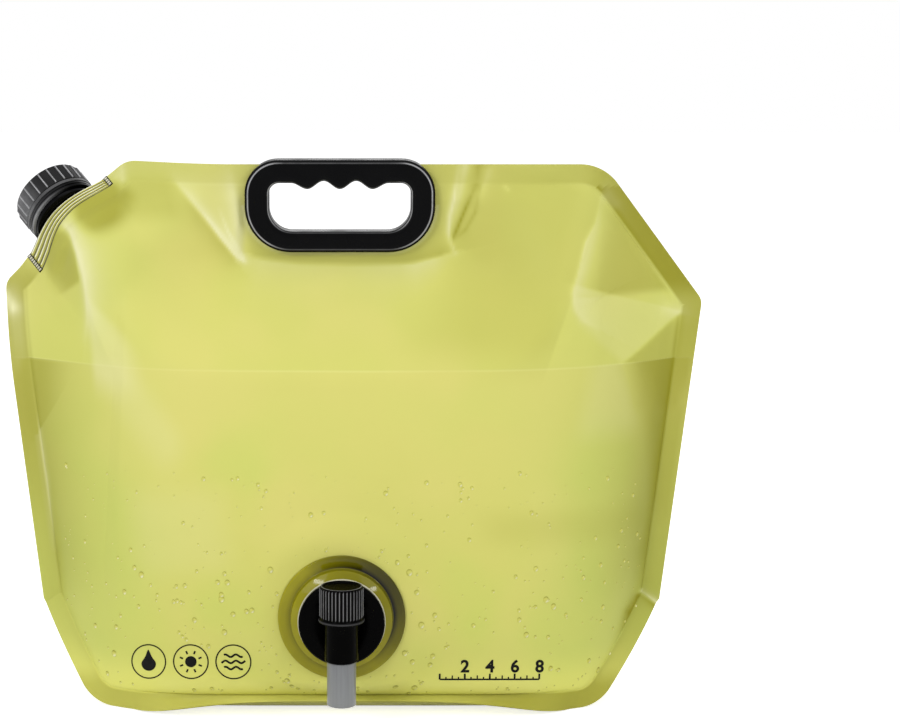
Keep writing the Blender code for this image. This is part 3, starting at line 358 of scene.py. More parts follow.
FILM = film_material()
WELD = weld_material()
BLACK = black_material("black_plastic", 0.28, (5, 5, 6), 0.10, 0.05)
BLACK_GLOSS = black_material("black_gloss_plastic", 0.20, (1, 1, 1), 0.03, 0.02)
BLACK_CAP = black_material("black_cap_plastic", 0.34, (8, 8, 9), 0.12, 0.08)
BLACK_NECK = black_material("black_neck_plastic", 0.14, (3, 3, 4), 0.03, 0.05)
PORT_FINISH = port_material()
PALE = pale_material()
RUBBER = plain_material("seal_rubber", (150.0, 4.0), 0.3, (26, 26, 26), (44, 43, 42),
                        200.0, (0.6, 0.8)).material
VALVE = plain_material("valve_plastic", (80.0, 3.0), 0.3, (222, 221, 216), (208, 207, 200),
                       140.0, (0.34, 0.46)).material
TUBE = tube_material()
INK = plain_material("print_ink", (400.0, 4.0), 0.4, (6, 6, 6), (14, 14, 14),
                     500.0, (0.42, 0.6), Specular_IOR_Level=0.1).material
DROP = drop_material()


# Mesh helpers
def linked(name, data):
    """A new object with this data, linked to the scene."""
    made = bpy.data.objects.new(name, data)
    bpy.context.scene.collection.objects.link(made)
    return made


def piece(name, mesh, finish, body, replaces=()):
    """A finished piece of the object: it sits at the origin and rides on its body."""
    made = linked(name, mesh)
    mesh.materials.clear()
    mesh.materials.append(finish)
    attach(made, body)
    if replaces:
        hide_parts(*replaces)
    return made


def mesh_of(name, points, faces, smooth_angle=math.radians(40.0)):
    """A smooth mesh that keeps the edges sharper than an angle."""
    mesh = bpy.data.meshes.new(name)
    mesh.from_pydata([tuple(point) for point in points], [], [tuple(face) for face in faces])
    mesh.validate()
    mesh.shade_smooth()
    mesh.set_sharp_from_angle(angle=smooth_angle)
    return mesh


def grid_faces(rows, columns, keep=None):
    """Faces of a grid of points stored column by column; keep says which cells stay."""
    faces = []
    for column in range(columns - 1):
        for row in range(rows - 1):
            if keep is None or keep[column, row]:
                low = column * rows + row
                faces.append((low, low + rows, low + rows + 1, low + 1))
    return faces


def bridge(first, second, count, flip=False):
    """Faces between two closed rings of so many points, given by where the rings start."""
    faces = []
    for index in range(count):
        on = (index + 1) % count
        if flip:
            faces.append((first + index, first + on, second + on, second + index))
        else:
            faces.append((first + index, second + index, second + on, first + on))
    return faces


def ring_faces(rings, count, closed=False, flip=False, start=0):
    """Faces between neighbouring rings; closed joins the last ring to the first."""
    faces = []
    for ring in range(rings if closed else rings - 1):
        after = (ring + 1) % rings
        faces += bridge(start + ring * count, start + after * count, count, flip)
    return faces


def filleted(corners, steps=5):
    """Closed profile of (radius, height, fillet) corners, each rounded by its fillet."""
    points = []
    count = len(corners)
    for index, (radius, height, fillet) in enumerate(corners):
        corner = Vector((radius, height))
        before = Vector(corners[index - 1][:2]) - corner
        after = Vector(corners[(index + 1) % count][:2]) - corner
        if fillet == 0.0:
            points.append(corner)
            continue
        half = before.angle(after) / 2
        reach = min(fillet / math.tan(half), before.length / 2, after.length / 2)
        start = corner + before.normalized() * reach
        stop = corner + after.normalized() * reach
        for step in range(steps + 1):
            share = step / steps
            first = start.lerp(corner, share)
            second = corner.lerp(stop, share)
            points.append(first.lerp(second, share))
    return points


def lathe(corners, steps, place, rib=None):
    """Points and faces of a closed profile turned round local Z. rib gives how far a
    point at a step round and a profile point stands out."""
    profile = filleted(corners)
    points = []
    for step in range(steps):
        angle = 2 * math.pi * step / steps
        for radius, height in profile:
            reach = radius + (rib(step, radius, height) if rib else 0.0)
            across, ahead = reach * math.cos(angle), reach * math.sin(angle)
            points.append(place @ Vector((across, ahead, height)))
    return points, ring_faces(steps, len(profile), closed=True)


def crests(corners, steps, rib, high, most, power, rims):
    """How much painted highlight each point of a ribbed lathe gets. A rib of the full height high
    gets most, and the highlight falls off towards its foot with the power. Each rim is a place
    of its own painted highlight, given as (least radius, most radius, low, top, highlight)."""
    profile = filleted(corners)
    lighter_tone = []
    for radius, height in profile:
        found = [rim_highlight for near, far, low, top, rim_highlight in rims
                 if near <= radius <= far and low <= height <= top]
        lighter_tone.append(max(found, default=0.0))
    return [max(rim, most * (rib(step, *spot) / high) ** power)
            for step in range(steps) for spot, rim in zip(profile, lighter_tone)]


def joined(*parts):
    """Several (points, faces) lists as one."""
    points, faces = [], []
    for more_points, more_faces in parts:
        start = len(points)
        points += list(more_points)
        faces += [tuple(index + start for index in face) for face in more_faces]
    return points, faces


def paint(mesh, **tones):
    """Writes a value for each point under each name, for the material to read."""
    for label, values in tones.items():
        layer = mesh.attributes.new(label, "FLOAT", "POINT")
        full = np.broadcast_to(np.float32(values), len(mesh.vertices))
        layer.data.foreach_set("value", np.ascontiguousarray(full))


def reworked(mesh, step):
    """Runs a step on the mesh in Blender's editable form and writes it back."""
    bm = bmesh.new()
    bm.from_mesh(mesh)
    step(bm)
    bm.to_mesh(mesh)
    bm.free()
    return mesh


def outward(mesh):
    """Turns every face of closed shells to look out."""
    def turn(bm):
        bmesh.ops.remove_doubles(bm, verts=bm.verts, dist=0.001 * MM)
        bmesh.ops.recalc_face_normals(bm, faces=bm.faces)
    return reworked(mesh, turn)


def turned_over(mesh, wrong):
    """Turns over the faces that look the wrong way."""
    def turn(bm):
        for face in bm.faces:
            if wrong(face):
                face.normal_flip()
    return reworked(mesh, turn)


def box_mesh(place, first, second):
    """Points and faces of a small block between two corners in a local frame."""
    (x0, x1), (y0, y1), (z0, z1) = [sorted(pair) for pair in zip(first, second)]
    points = [place @ Vector((x, y, z)) for z in (z0, z1) for y in (y0, y1) for x in (x0, x1)]
    faces = [(0, 2, 3, 1), (4, 5, 7, 6), (0, 1, 5, 4), (2, 6, 7, 3), (0, 4, 6, 2), (1, 3, 7, 5)]
    return points, faces


# Outline of the film, in (x, z)
def inset(corners, distance):
    """The outline's corners, moved in by a distance."""
    moved = []
    for index, corner in enumerate(corners):
        before = (corner - corners[index - 1]).normalized()
        after = (corners[(index + 1) % len(corners)] - corner).normalized()
        first, second = Vector((-before.y, before.x)), Vector((-after.y, after.x))
        moved.append(corner - (first + second) * (distance / (1.0 + first.dot(second))))
    return moved


# Corners: left tip, shoulder and top, right top, shoulder and tip, right and left foot
OUTLINE = [
    Vector((-TIP_X, TIP_Z)),
    Vector((-HALF_WIDTH, HEIGHT - LEFT_CORNER[1])),
    Vector((LEFT_CORNER[0] - HALF_WIDTH, HEIGHT)),
    Vector((HALF_WIDTH - RIGHT_CORNER[0], HEIGHT)),
    Vector((HALF_WIDTH, HEIGHT - RIGHT_CORNER[1])),
    Vector((TIP_X, TIP_Z)),
    Vector((RIGHT_FOOT_X, FOOT_Z)),
    Vector((-LEFT_FOOT_X, FOOT_Z)),
]
SEAM = inset(OUTLINE, SEAL_WIDTH)
TOP_CORNERS = SEAM[1:5]
FOOT_CORNERS = [SEAM[0], SEAM[7], SEAM[6], SEAM[5]]
SLOPE = (OUTLINE[2] - OUTLINE[1]).normalized()
SLOPE_OUT = Vector((-SLOPE.y, SLOPE.x))
CANOE_MIDDLE = OUTLINE[1].lerp(OUTLINE[2], 0.53)


def rounded(corners, rounds, column):
    """Point and outward normal on a path of three straight runs and two arcs."""
    run = 0
    while run < len(COLUMN_COUNTS) - 1 and column > COLUMN_COUNTS[run]:
        column -= COLUMN_COUNTS[run]
        run += 1
    share = column / COLUMN_COUNTS[run]
    ends, centres = [corners[0]], []
    for index, radius in ((1, rounds[0]), (2, rounds[1])):
        corner = corners[index]
        back = (corners[index - 1] - corner).normalized()
        on = (corners[index + 1] - corner).normalized()
        half = back.angle(on) / 2
        reach = radius / math.tan(half)
        ends += [corner + back * reach, corner + on * reach]
        centres.append(corner + (back + on).normalized() * (radius / math.sin(half)))
    ends.append(corners[3])
    if run % 2 == 0:
        start, stop = ends[run], ends[run + 1]
        along = (stop - start).normalized()
        normal = Vector((-along.y, along.x))
        if normal.dot(centres[0] - start) > 0.0:
            normal.negate()
        return start.lerp(stop, share), normal
    centre = centres[run // 2]
    first, last = ends[run] - centre, ends[run + 1] - centre
    normal = first.normalized()
    normal.rotate(Matrix.Rotation(-first.angle_signed(last) * share, 2))
    return centre + normal * first.length, normal


# Depth of the filled bag, on arrays of x and z
def fade(share):
    """A share eased in and out between 0 and 1."""
    share = np.clip(share, 0.0, 1.0)
    return share * share * (3.0 - 2.0 * share)


def lean(x, z):
    """How far the bag's middle sheet leans back near the spout."""
    inside = (x - OUTLINE[1].x) * -SLOPE_OUT.x + (z - OUTLINE[1].y) * -SLOPE_OUT.y
    slope = math.tan(SPOUT_LEAN)
    rest = np.clip(LEAN_STRAIGHT + LEAN_BEND - inside, 0.0, None)
    straight = slope * (LEAN_STRAIGHT - inside + LEAN_BEND / 2)
    return np.where(inside <= LEAN_STRAIGHT, straight, slope * rest * rest / (2 * LEAN_BEND))


SPOUT_AXIS = Vector((SLOPE_OUT.x * math.cos(SPOUT_LEAN), math.sin(SPOUT_LEAN),
                     SLOPE_OUT.y * math.cos(SPOUT_LEAN)))
SPOUT_ALONG = Vector((SLOPE.x, 0.0, SLOPE.y))
SPOUT_BACK = SPOUT_AXIS.cross(SPOUT_ALONG)
SPOUT_ORIGIN = Vector((CANOE_MIDDLE.x, float(lean(*CANOE_MIDDLE)), CANOE_MIDDLE.y))
SPOUT_AXES = Matrix((SPOUT_ALONG, SPOUT_BACK, SPOUT_AXIS)).transposed()
SPOUT = Matrix.Translation(SPOUT_ORIGIN) @ SPOUT_AXES.to_4x4()
PORT = Matrix.Translation(TAP) @ Matrix.Rotation(math.pi / 2, 4, "X")
BARREL = Matrix.Translation((TAP.x, BARREL_Y, TAP.z))


def canoe_half_depth(along):
    """Half the weld base's depth at a place along it."""
    share = np.clip(1.0 - (2 * along / CANOE_LENGTH) ** 2, 0.0, None)
    return CANOE_TIP_DEPTH / 2 + (CANOE_DEPTH - CANOE_TIP_DEPTH) / 2 * share ** CANOE_POWER


def spout_along(x, z):
    """Distance along the sloped corner from the spout's middle."""
    return (x - CANOE_MIDDLE.x) * SLOPE.x + (z - CANOE_MIDDLE.y) * SLOPE.y


def spout_inside(x, z):
    """Distance from the sloped corner's edge into the bag."""
    return (CANOE_MIDDLE.x - x) * SLOPE_OUT.x + (CANOE_MIDDLE.y - z) * SLOPE_OUT.y


def canoe_spread(x, z):
    """How far the canoe pushes each film off the middle sheet."""
    along, inside = spout_along(x, z), spout_inside(x, z)
    near = fade(1.0 - np.clip(np.abs(along) - CANOE_LENGTH / 2, 0.0, None) / SEAL_WIDTH)
    deep = fade(1.0 - (inside - CANOE_HEIGHT) / CANOE_FADE)
    return (canoe_half_depth(along) + CANOE_FILM_SLACK) * near * deep


def seat_depth(x):
    """How far the floor reaches ahead and behind at x."""
    return SEAT_DEPTH * np.clip(1.0 - np.abs(x / SEAM[5].x) ** 6.0, 0.0, None)


def off_grip(x, z):
    """0 under the hand grip, where both films lie flat, and 1 well away from it."""
    aside = np.clip(np.abs(x - GRIP.x) - GRIP_WIDTH / 2 - SLACK_ASIDE, 0.0, None)
    below = np.clip(GRIP.z - GRIP_HEIGHT / 2 - z, 0.0, None)
    return fade(np.hypot(aside, below) / SLACK_BELOW_GRIP)


def side_edges(share):
    """Where the left and the right seam stand at a share of a panel's height."""
    left = SEAM[0].x + (SEAM[1].x - SEAM[0].x) * share
    right = SEAM[5].x + (SEAM[4].x - SEAM[5].x) * share
    return left, right


def swell(x, z, share, foot_x, front):
    """Depth of a panel off the middle sheet: full at the floor, swollen below the middle."""
    low, high = SWELL_UP_POWERS
    edge = np.where(x < 0.0, *side_edges(share))
    steep, full = SWELL_ACROSS_POWERS
    across = np.clip(1.0 - np.abs(x / edge) ** steep, 0.0, None) ** full
    peak = (low / (low + high)) ** low * (high / (low + high)) ** high
    up = np.clip(share, 0.0, 1.0) ** low * np.clip(1.0 - share, 0.0, 1.0) ** high / peak
    depth = (1.0 - share) * seat_depth(foot_x) + SWELL_DEPTH * across * up
    depth = depth * off_grip(x, z)
    if front:
        away = np.hypot(x - TAP.x, z - TAP.z)
        seated = fade(1.0 - (away - TAP_FLAT_RADIUS) / TAP_FLAT_FADE)
        seated = seated * fade(share / ROW_SHARE_OF_FLANGE)
        depth = depth + (-TAP.y - depth) * seated
    return depth


# Folds: each is a line of (x, z, height) in millimetres, its sharpness and the reach of
# its two flanks. A negative height is a valley.
FRONT_FOLDS = [
    (((133, 273, 0.3), (129.5, 260, 1.2), (124.4, 250, 1.8), (120.5, 237, 2.1), (116.7, 224, 2.1),
      (117.7, 216, 1.7), (121.4, 211, 1.2), (130, 206, 0.6), (140, 202, 0.1)), 1.4, 9, 22),
    (((119, 219, -0.3), (131, 222.4, -1.1), (141, 222.6, -1.5), (155, 220.8, -1.4),
      (169, 216, -1.0), (176, 212.4, -0.2)), 1.4, 12, 9),
    (((177, 210, 0.3), (169.4, 204, 1.4), (158, 194.4, 1.6), (150, 189.4, 1.1),
      (143, 186, 0.1)), 1.2, 12, 9),
    (((-150, 253.5, 0.2), (-145.3, 249.6, 1.3), (-140.8, 240.5, 2.5), (-139.1, 231, 2.9),
      (-138.6, 220.6, 2.7), (-136, 208, 2.0), (-130, 194, 1.2), (-118, 176, 0.1)), 1.5, 16, 6),
    (((-95.4, 283.7, 0.1), (-86.6, 274, 0.9), (-79.1, 264.6, 1.5), (-69.6, 252.6, 2.0),
      (-61.1, 242.5, 1.4), (-57, 238.5, 0.1)), 0.4, 7, 5),
    (((-66, 285, 0.2), (-63, 272, 1.2), (-60.6, 259, 1.6), (-60, 248, 0.3)), 1.0, 5, 6),
    (((57.3, 290, 0.3), (54.8, 272.5, 1.6), (52.9, 264.4, 1.8), (52.2, 255.3, 1.9),
      (53.5, 249.3, 1.3), (56.5, 244.3, 0.2)), 0.6, 5, 5),
    (((64.8, 280, -0.2), (61.4, 268.7, -1.0), (58.3, 260.7, -1.3), (55.1, 253.1, -1.2),
      (53.5, 248.3, -0.1)), 0.5, 4, 5),
    (((73, 288, 0.2), (68.8, 279.4, 1.0), (66.3, 263.4, 1.1), (61, 256.4, 0.9),
      (56.2, 252, 0.1)), 0.9, 6, 7),
    (((-60, 241.5, 0.1), (-40, 237.8, 0.7), (-3.5, 236.3, 0.9), (26, 236.8, 0.9),
      (43.3, 239.9, 0.8), (54, 243, 0.2)), 0.9, 4, 12),
    (((157, 58, 0.1), (162, 54.4, 1.6), (168.5, 49.6, 1.6)), 0.5, 3, 3),
    (((158, 54, -0.2), (153, 47.6, -1.6), (147.5, 39.6, -0.2)), 0.6, 4, 5),
    (((-160, 63, 0.1), (-166, 57, 1.0), (-170, 53, 0.8)), 1.0, 4, 4),
    (((-168, 70, -0.1), (-163, 60, -0.8), (-160, 50, -0.1)), 0.8, 5, 5),
]
BACK_FOLDS = [
    (((134, 279, 0.3), (127, 255, 1.9), (119, 235, 2.6), (113, 218, 2.2), (112, 204, 0.3)),
     1.6, 10, 20),
    (((178, 209, 0.4), (160, 200, 2.4), (146, 191, 1.8), (132, 186, 0.2)), 1.2, 12, 10),
    (((-146, 242, 0.2), (-138, 226, 2.4), (-128, 204, 3.0), (-116, 186, 1.6), (-104, 172, 0.2)),
     2.6, 18, 8),
    (((-88, 284, 0.1), (-74, 264, 1.2), (-62, 246, 1.8), (-56, 240, 0.2)), 0.8, 7, 6),
    (((60, 288, 0.3), (56, 268, 1.5), (52, 251, 1.6), (54, 243, 0.2)), 0.8, 6, 6),
    (((-64, 239, 0.1), (-30, 236, 0.6), (20, 236.5, 0.6), (54, 241.5, 0.2)), 1.0, 4, 12),
]
# Dimples: middle (x, z), long and short reach, turn in degrees and depth
DIMPLES = [
    (-134.5, 262.5, 9.5, 8.0, 45.0, -4.0),
    (-153.0, 239.5, 12.0, 7.0, 72.0, -3.0),
]

# Tones of the film: lines of (x, z, strength) with their sharpness and the reach of both
# # flanks. A positive strength is a painted highlight, where the film catches light, and a
# # negative one painted shade.
FRONT_TONES = [
    (((-154, 255.8, 0.1), (-149.5, 252.9, 0.6), (-145.3, 249.6, 0.9), (-140.8, 240.5, 1.0),
      (-139.1, 231.2, 0.9), (-139.2, 220.6, 0.7), (-140.5, 208.8, 0.4), (-142.2, 198, 0.1)),
     0.5, 5, 1.4),
    (((-189.5, 218, 0.7), (-184.5, 212, 0.8)), 2.0, 2, 2),
    (((-184, 222, 0.1), (-183.5, 210, 0.25), (-181, 196, 0.2), (-179.5, 184, 0.1)), 2.0, 4, 4),
    (((61, 291, 1.0), (59, 281, 0.5), (56.8, 271, 0.4), (55.2, 262, 0.25), (54, 255, 0.1)),
     1.5, 2.0, 2.0),
    (((68, 292, -1.0), (67, 282, -0.5), (66, 276, -0.1)), 1.0, 2.5, 2.5),
    (((-175.5, 184, 0.1), (-172.6, 163, 0.3), (-170, 146, 0.55), (-168.2, 132, 0.6),
      (-166.4, 118, 0.6), (-164.6, 96, 0.4), (-163.6, 80, 0.1)), 0.3, 0.9, 0.9),
    (((-124.6, 288, 0.6), (-123.8, 281, 0.6), (-124.6, 273, 0.1)), 1.0, 1.6, 1.6),
    (((-95.4, 283.7, 0.2), (-86.6, 274, 0.6), (-79.1, 264.6, 0.7), (-69.6, 252.6, 0.8),
      (-61.1, 242.5, 0.7), (-57, 238.5, 0.2)), 0.5, 2.0, 1.1),
    (((-97, 281, -0.1), (-82, 264, -0.35), (-64, 241.5, -0.4)), 0.8, 1.0, 5),
    (((-65, 286, 0.4), (-62.4, 272, 0.6), (-60, 256, 0.7), (-60, 246, 0.3)), 1.0, 2.0, 3.4),
    (((-80, 266, 0.1), (-69.6, 252.6, 0.9), (-61.1, 242.5, 1.4), (-57.5, 239, 0.4)),
     0.2, 0.8, 0.8),
    (((-71, 268, 0.1), (-66.5, 256, 0.5), (-61.5, 247, 0.7), (-57.5, 240, 0.2)), 0.2, 0.8, 0.8),
    (((-150, 268.5, 0.3), (-128, 283, 0.4)), 1.0, 3.0, 3.0),
    (((57.3, 291, 0.2), (54.8, 272.5, 0.7), (52.9, 264.4, 0.8), (52.2, 255.3, 0.8),
      (53.5, 249.3, 0.7), (55.6, 244.5, 0.5), (58.4, 245.4, 0.2)), 0.3, 0.9, 1.4),
    (((65.5, 278, -0.2), (61.6, 268.7, -0.7), (58.3, 260.7, -0.8), (55.1, 253.1, -0.7),
      (53.7, 249, -0.2)), 0.3, 0.9, 1.2),
    (((73.5, 287, 0.7), (71.5, 282, 0.5), (67, 270, 0.2), (63, 259, 0.1)), 1.2, 2.2, 2.2),
    (((69, 279.5, -0.2), (66.5, 266, -0.45), (61.5, 256.6, -0.4), (56.5, 252, -0.1)), 0.4, 1, 1.6),
    (((82.2, 279.4, 0.3), (83.8, 277.8, 0.3)), 0.5, 0.8, 0.8),
    (((-56, 241.8, 0.1), (-48, 239.1, 0.25), (-27.7, 236.6, 0.2), (-3.5, 236, 0.15),
      (26, 236.6, 0.3), (34, 237.2, 0.5), (43.3, 239.9, 0.5), (54, 243, 0.2)), 0.4, 0.7, 9),
    (((-52, 243.5, -0.3), (-27, 240, -0.3), (0, 239.4, -0.3), (30, 240, -0.35),
      (48, 243.5, -0.3)), 1.2, 5, 1.0),
    (((134, 276, 0.1), (129.7, 260, 0.45), (124.4, 250.5, 0.6), (120.7, 237, 0.6),
      (117, 224.5, 0.5), (118.2, 216.4, 0.4), (122, 211, 0.3), (131, 205.8, 0.1)), 0.4, 11, 0.8),
    (((170, 213.6, 0.2), (177, 211.5, 0.4)), 1.2, 4, 3),
    (((158.5, 57, 0.7), (163, 53.8, 1.0), (169.4, 49, 2.2)), 0.4, 1.1, 1.1),
    (((156.5, 55.5, -0.3), (162, 51.6, -1.0), (168, 47.2, -1.8)), 0.3, 0.9, 1.6),
    (((157.5, 54, -0.9), (152.6, 47, -1.1), (147.5, 39.6, -0.5)), 0.4, 1.2, 3.5),
    (((136, 274, 0.4), (139.6, 270, 0.3)), 1.5, 3, 3),
]
# Painted highlights and shade along the back's folds, 0.22 as strong as their heights
BACK_TONES = [(tuple((x, z, 0.22 * height) for x, z, height in line), 0.5, 1.2, right / 2)
              for line, _, _, right in BACK_FOLDS]
# Patches of painted light and shade: corners clockwise, a softness for each side, and the
# strength; a positive strength paints light and a negative one shade
FRONT_PATCHES = [
    (((52, 300), (136, 276), (116.6, 223), (110, 190), (40, 190)), (9, 1.6, 26, 30, 60), -0.25),
    (((135, 276), (178.5, 213), (141, 223), (120, 222.4)), (4, 2.5, 6, 26), -0.5),
    (((118.6, 222.2), (141, 223), (178.6, 212.2), (145, 187), (119, 210)),
     (1.6, 1.6, 2, 6, 9), 0.14),
    (((179, 212), (179, 187), (145, 187)), (1.5, 1.0, 3.5), -0.4),
    (((184, 187), (179, 160), (160, 160), (150, 187)), (2, 8, 24, 0.8), -0.6),
    (((180, 160), (175, 95), (166, 100), (158, 160)), (2, 20, 10, 8), -0.4),
    (((150, 187), (152, 150), (120, 150), (128, 187)), (12, 18, 14, 0.8), 0.14),
    (((-93, 284), (-66, 286), (-59, 248), (-62.5, 244.5)), (10, 4, 6, 4), 0.16),
    (((-147, 270), (-130, 281), (-118, 276), (-120, 259), (-134.3, 250), (-144, 255)),
     (4, 8, 14, 11, 9, 8), -0.75),
    (((-158, 251), (-146, 249), (-142.3, 240), (-142, 228), (-154, 222), (-164, 229),
      (-165.5, 238)), (5, 4, 2, 3, 14, 8, 6), -0.5),
    (((-140, 222), (-128, 211), (-116, 198), (-114, 176), (-137, 176)), (6, 14, 16, 24, 5), 0.32),
    (((-138, 186), (-116, 186), (-88, 150), (-96, 134), (-129, 168)), (16, 14, 16, 20, 14), 0.15),
    (((70, 114), (158, 110), (156, 92), (70, 98)), (14, 8, 16, 24), -0.14),
    (((-118, 120), (-70, 126), (-62, 84), (-112, 78)), (22, 24, 22, 22), 0.12),
    (((-124, 284), (-98, 284), (-92, 264), (-116, 262)), (6, 10, 12, 10), -0.26),
    (((-140, 293), (-44, 293), (-44, 280.6), (-128, 280.6)), (2, 6, 1, 8), 0.1),
    (((-104, 22), (104, 22), (104, 9), (-104, 9)), (10, 16, 1, 16), 0.1),
    (((-176, 186), (-146, 186), (-160, 163), (-162, 126), (-170, 126)), (2, 1, 22, 10, 16), -0.34),
]


def fold_height(x, z, folds):
    """Sum of the folds at arrays of x and z in metres, as a distance off the film."""
    total = np.zeros_like(x)
    px, pz = x / MM, z / MM
    for line, sharp, left, right in folds:
        best = np.full(x.shape, 1e9)
        height = np.zeros_like(x)
        reach = np.zeros_like(x)
        for (ax, az, ah), (bx, bz, bh) in zip(line, line[1:]):
            dx, dz = bx - ax, bz - az
            share = np.clip(((px - ax) * dx + (pz - az) * dz) / (dx * dx + dz * dz), 0.0, 1.0)
            off_x, off_z = px - ax - share * dx, pz - az - share * dz
            away = np.hypot(off_x, off_z)
            closer = away < best
            best = np.where(closer, away, best)
            height = np.where(closer, ah + (bh - ah) * share, height)
            reach = np.where(closer, np.where(dx * off_z - dz * off_x > 0.0, left, right), reach)
        total += height * np.exp(-(np.sqrt(best * best + sharp * sharp) - sharp) / reach)
    return total * MM


def dimple_height(x, z):
    """Depth of the pressed-in dimples of the left shoulder."""
    total = np.zeros_like(x)
    for cx, cz, long, short, turn, depth in DIMPLES:
        cos, sin = math.cos(math.radians(turn)), math.sin(math.radians(turn))
        along = ((x / MM - cx) * cos + (z / MM - cz) * sin) / long
        aside = ((z / MM - cz) * cos - (x / MM - cx) * sin) / short
        total += depth * np.exp(-(along ** 2 + aside ** 2))
    return total * MM


def patch_tone(x, z, patches):
    """Sum of the patches' strengths, each faded in from its sides."""
    total = np.zeros_like(x)
    for corners, softness, strength in patches:
        inside = np.full(x.shape, strength)
        for index, soft in enumerate(softness):
            (ax, az), (bx, bz) = corners[index], corners[(index + 1) % len(corners)]
            off = (x / MM - ax) * (bz - az) - (z / MM - az) * (bx - ax)
            inside *= fade(0.5 + off / math.hypot(bx - ax, bz - az) / soft)
        total += inside
    return total


def ripple(x, z, turn):
    """Low, broad unevenness of a soft film, up to about a millimetre."""
    px, pz = x * 1000.0, z * 1000.0
    waves = np.sin(px / 23.0 + turn) * np.cos(pz / 29.0 + 2.0 * turn)
    waves += 0.6 * np.sin((px + pz) / 17.0 + 3.0 * turn) * np.sin((px - 0.6 * pz) / 31.0 + turn)
    return waves * 0.45 * MM


def clear_of_fittings(x, z, front):
    """0 where the grip, the canoe and the tap's flange sit, rising to 1 away from them."""
    aside = np.clip(np.abs(x - GRIP.x) - GRIP_WIDTH / 2, 0.0, None)
    below = np.clip(GRIP.z - GRIP_HEIGHT / 2 - z, 0.0, None)
    free = fade(np.hypot(aside, below) / GRIP_FOLD_FADE)
    beside = np.clip(np.abs(spout_along(x, z)) - CANOE_LENGTH / 2, 0.0, None)
    under = np.clip(spout_inside(x, z) - CANOE_HEIGHT - SPOUT_FOLD_FREE, 0.0, None)
    free = free * fade(np.hypot(beside, under) / SPOUT_FOLD_FADE)
    if front:
        away = np.hypot(x - TAP.x, z - TAP.z)
        free = free * fade((away - TAP_FOLD_FREE) / TAP_FOLD_FADE)
    return free


def corner_rounded(flat, corner, before, after, radius):
    """Pulls the points beyond an arc set in a corner onto the shape that the arc gives."""
    back, on = (before - corner).normalized(), (after - corner).normalized()
    half = back.angle(on) / 2
    centre = corner + (back + on).normalized() * (radius / math.sin(half))
    normals = []
    for edge in (back, on):
        normal = Vector((-edge.y, edge.x))
        if normal.dot(centre - corner) > 0.0:
            normal.negate()
        normals.append(normal)
    off = flat - np.array(centre)
    away = np.linalg.norm(off, axis=-1)
    safe = np.where(away > 0.0, away, 1.0)
    facing = [np.clip((off[..., 0] * n.x + off[..., 1] * n.y) / safe, 0.0, 1.0) for n in normals]
    ahead = off @ np.array((corner - centre).normalized())
    beyond = ahead > away * math.cos(math.pi / 2 - half)
    bound = radius / np.maximum(np.maximum(*facing), 0.2)
    share = fade((away - radius / 2) / np.maximum(bound - radius / 2, 1e-6))
    pulled = away * (1.0 + (radius / bound - 1.0) * share)
    moved = np.array(centre) + off * (pulled / safe)[..., None]
    return np.where(beyond[..., None], moved, flat)


def paths(columns):
    """Places and outward normals of each column's foot and top, as four arrays."""
    arrays = []
    for corners, rounds in ((FOOT_CORNERS, FOOT_ROUNDS), (TOP_CORNERS, TOP_ROUNDS)):
        path = [rounded(corners, rounds, column) for column in columns]
        arrays += [np.array([tuple(pair[part]) for pair in path]) for part in (0, 1)]
    return arrays


SEAL_SHARES = np.array((1.0, 0.94, 0.7, 0.4, 0.15))
SEALS = len(SEAL_SHARES)


def bottom_seal(foot, foot_out, share):
    """Flat place and depth of the bottom seal, which turns from hanging to pointing ahead."""
    middle = np.clip(1.0 - np.abs(foot[:, 0] / (SEAM[6].x - FOOT_ROUNDS[0])) ** 4.0, 0.0, None)
    turn = math.pi / 2 * (1.0 - middle * FIN_TURN)
    flat = foot + foot_out * (SEAL_WIDTH * share * np.sin(turn))[:, None]
    return flat, seat_depth(foot[:, 0]) + SEAL_WIDTH * share * np.cos(turn)


def side_seal(grids, end, tip, corner):
    """The side seal's columns for each of a panel's grids, ordered as the panel's columns."""
    flat, _, seal, row = grids
    side = np.array(corner - tip)
    normal = np.array((-side[1], side[0])) / np.linalg.norm(side)
    normal *= 1.0 if end == 0 else -1.0
    tip, corner = np.array(tip), np.array(corner)
    edge = flat[end].copy()
    outer = edge + normal * SEAL_WIDTH
    outer[:SEALS] = tip + (outer[SEALS] - tip) * (1.0 - SEAL_SHARES)[:, None]
    above = outer[-SEALS - 1] - corner
    outer[-SEALS:] = corner + above * (1.0 - SEAL_SHARES[::-1])[:, None]
    shares = SEAL_SHARES if end == 0 else SEAL_SHARES[::-1]
    return (np.stack([edge * (1.0 - share) + outer * share for share in shares]),
            np.zeros((SEALS, len(edge))),
            np.stack([np.maximum(seal[end], share) for share in shares]),
            np.repeat(row[end][None], SEALS, axis=0))


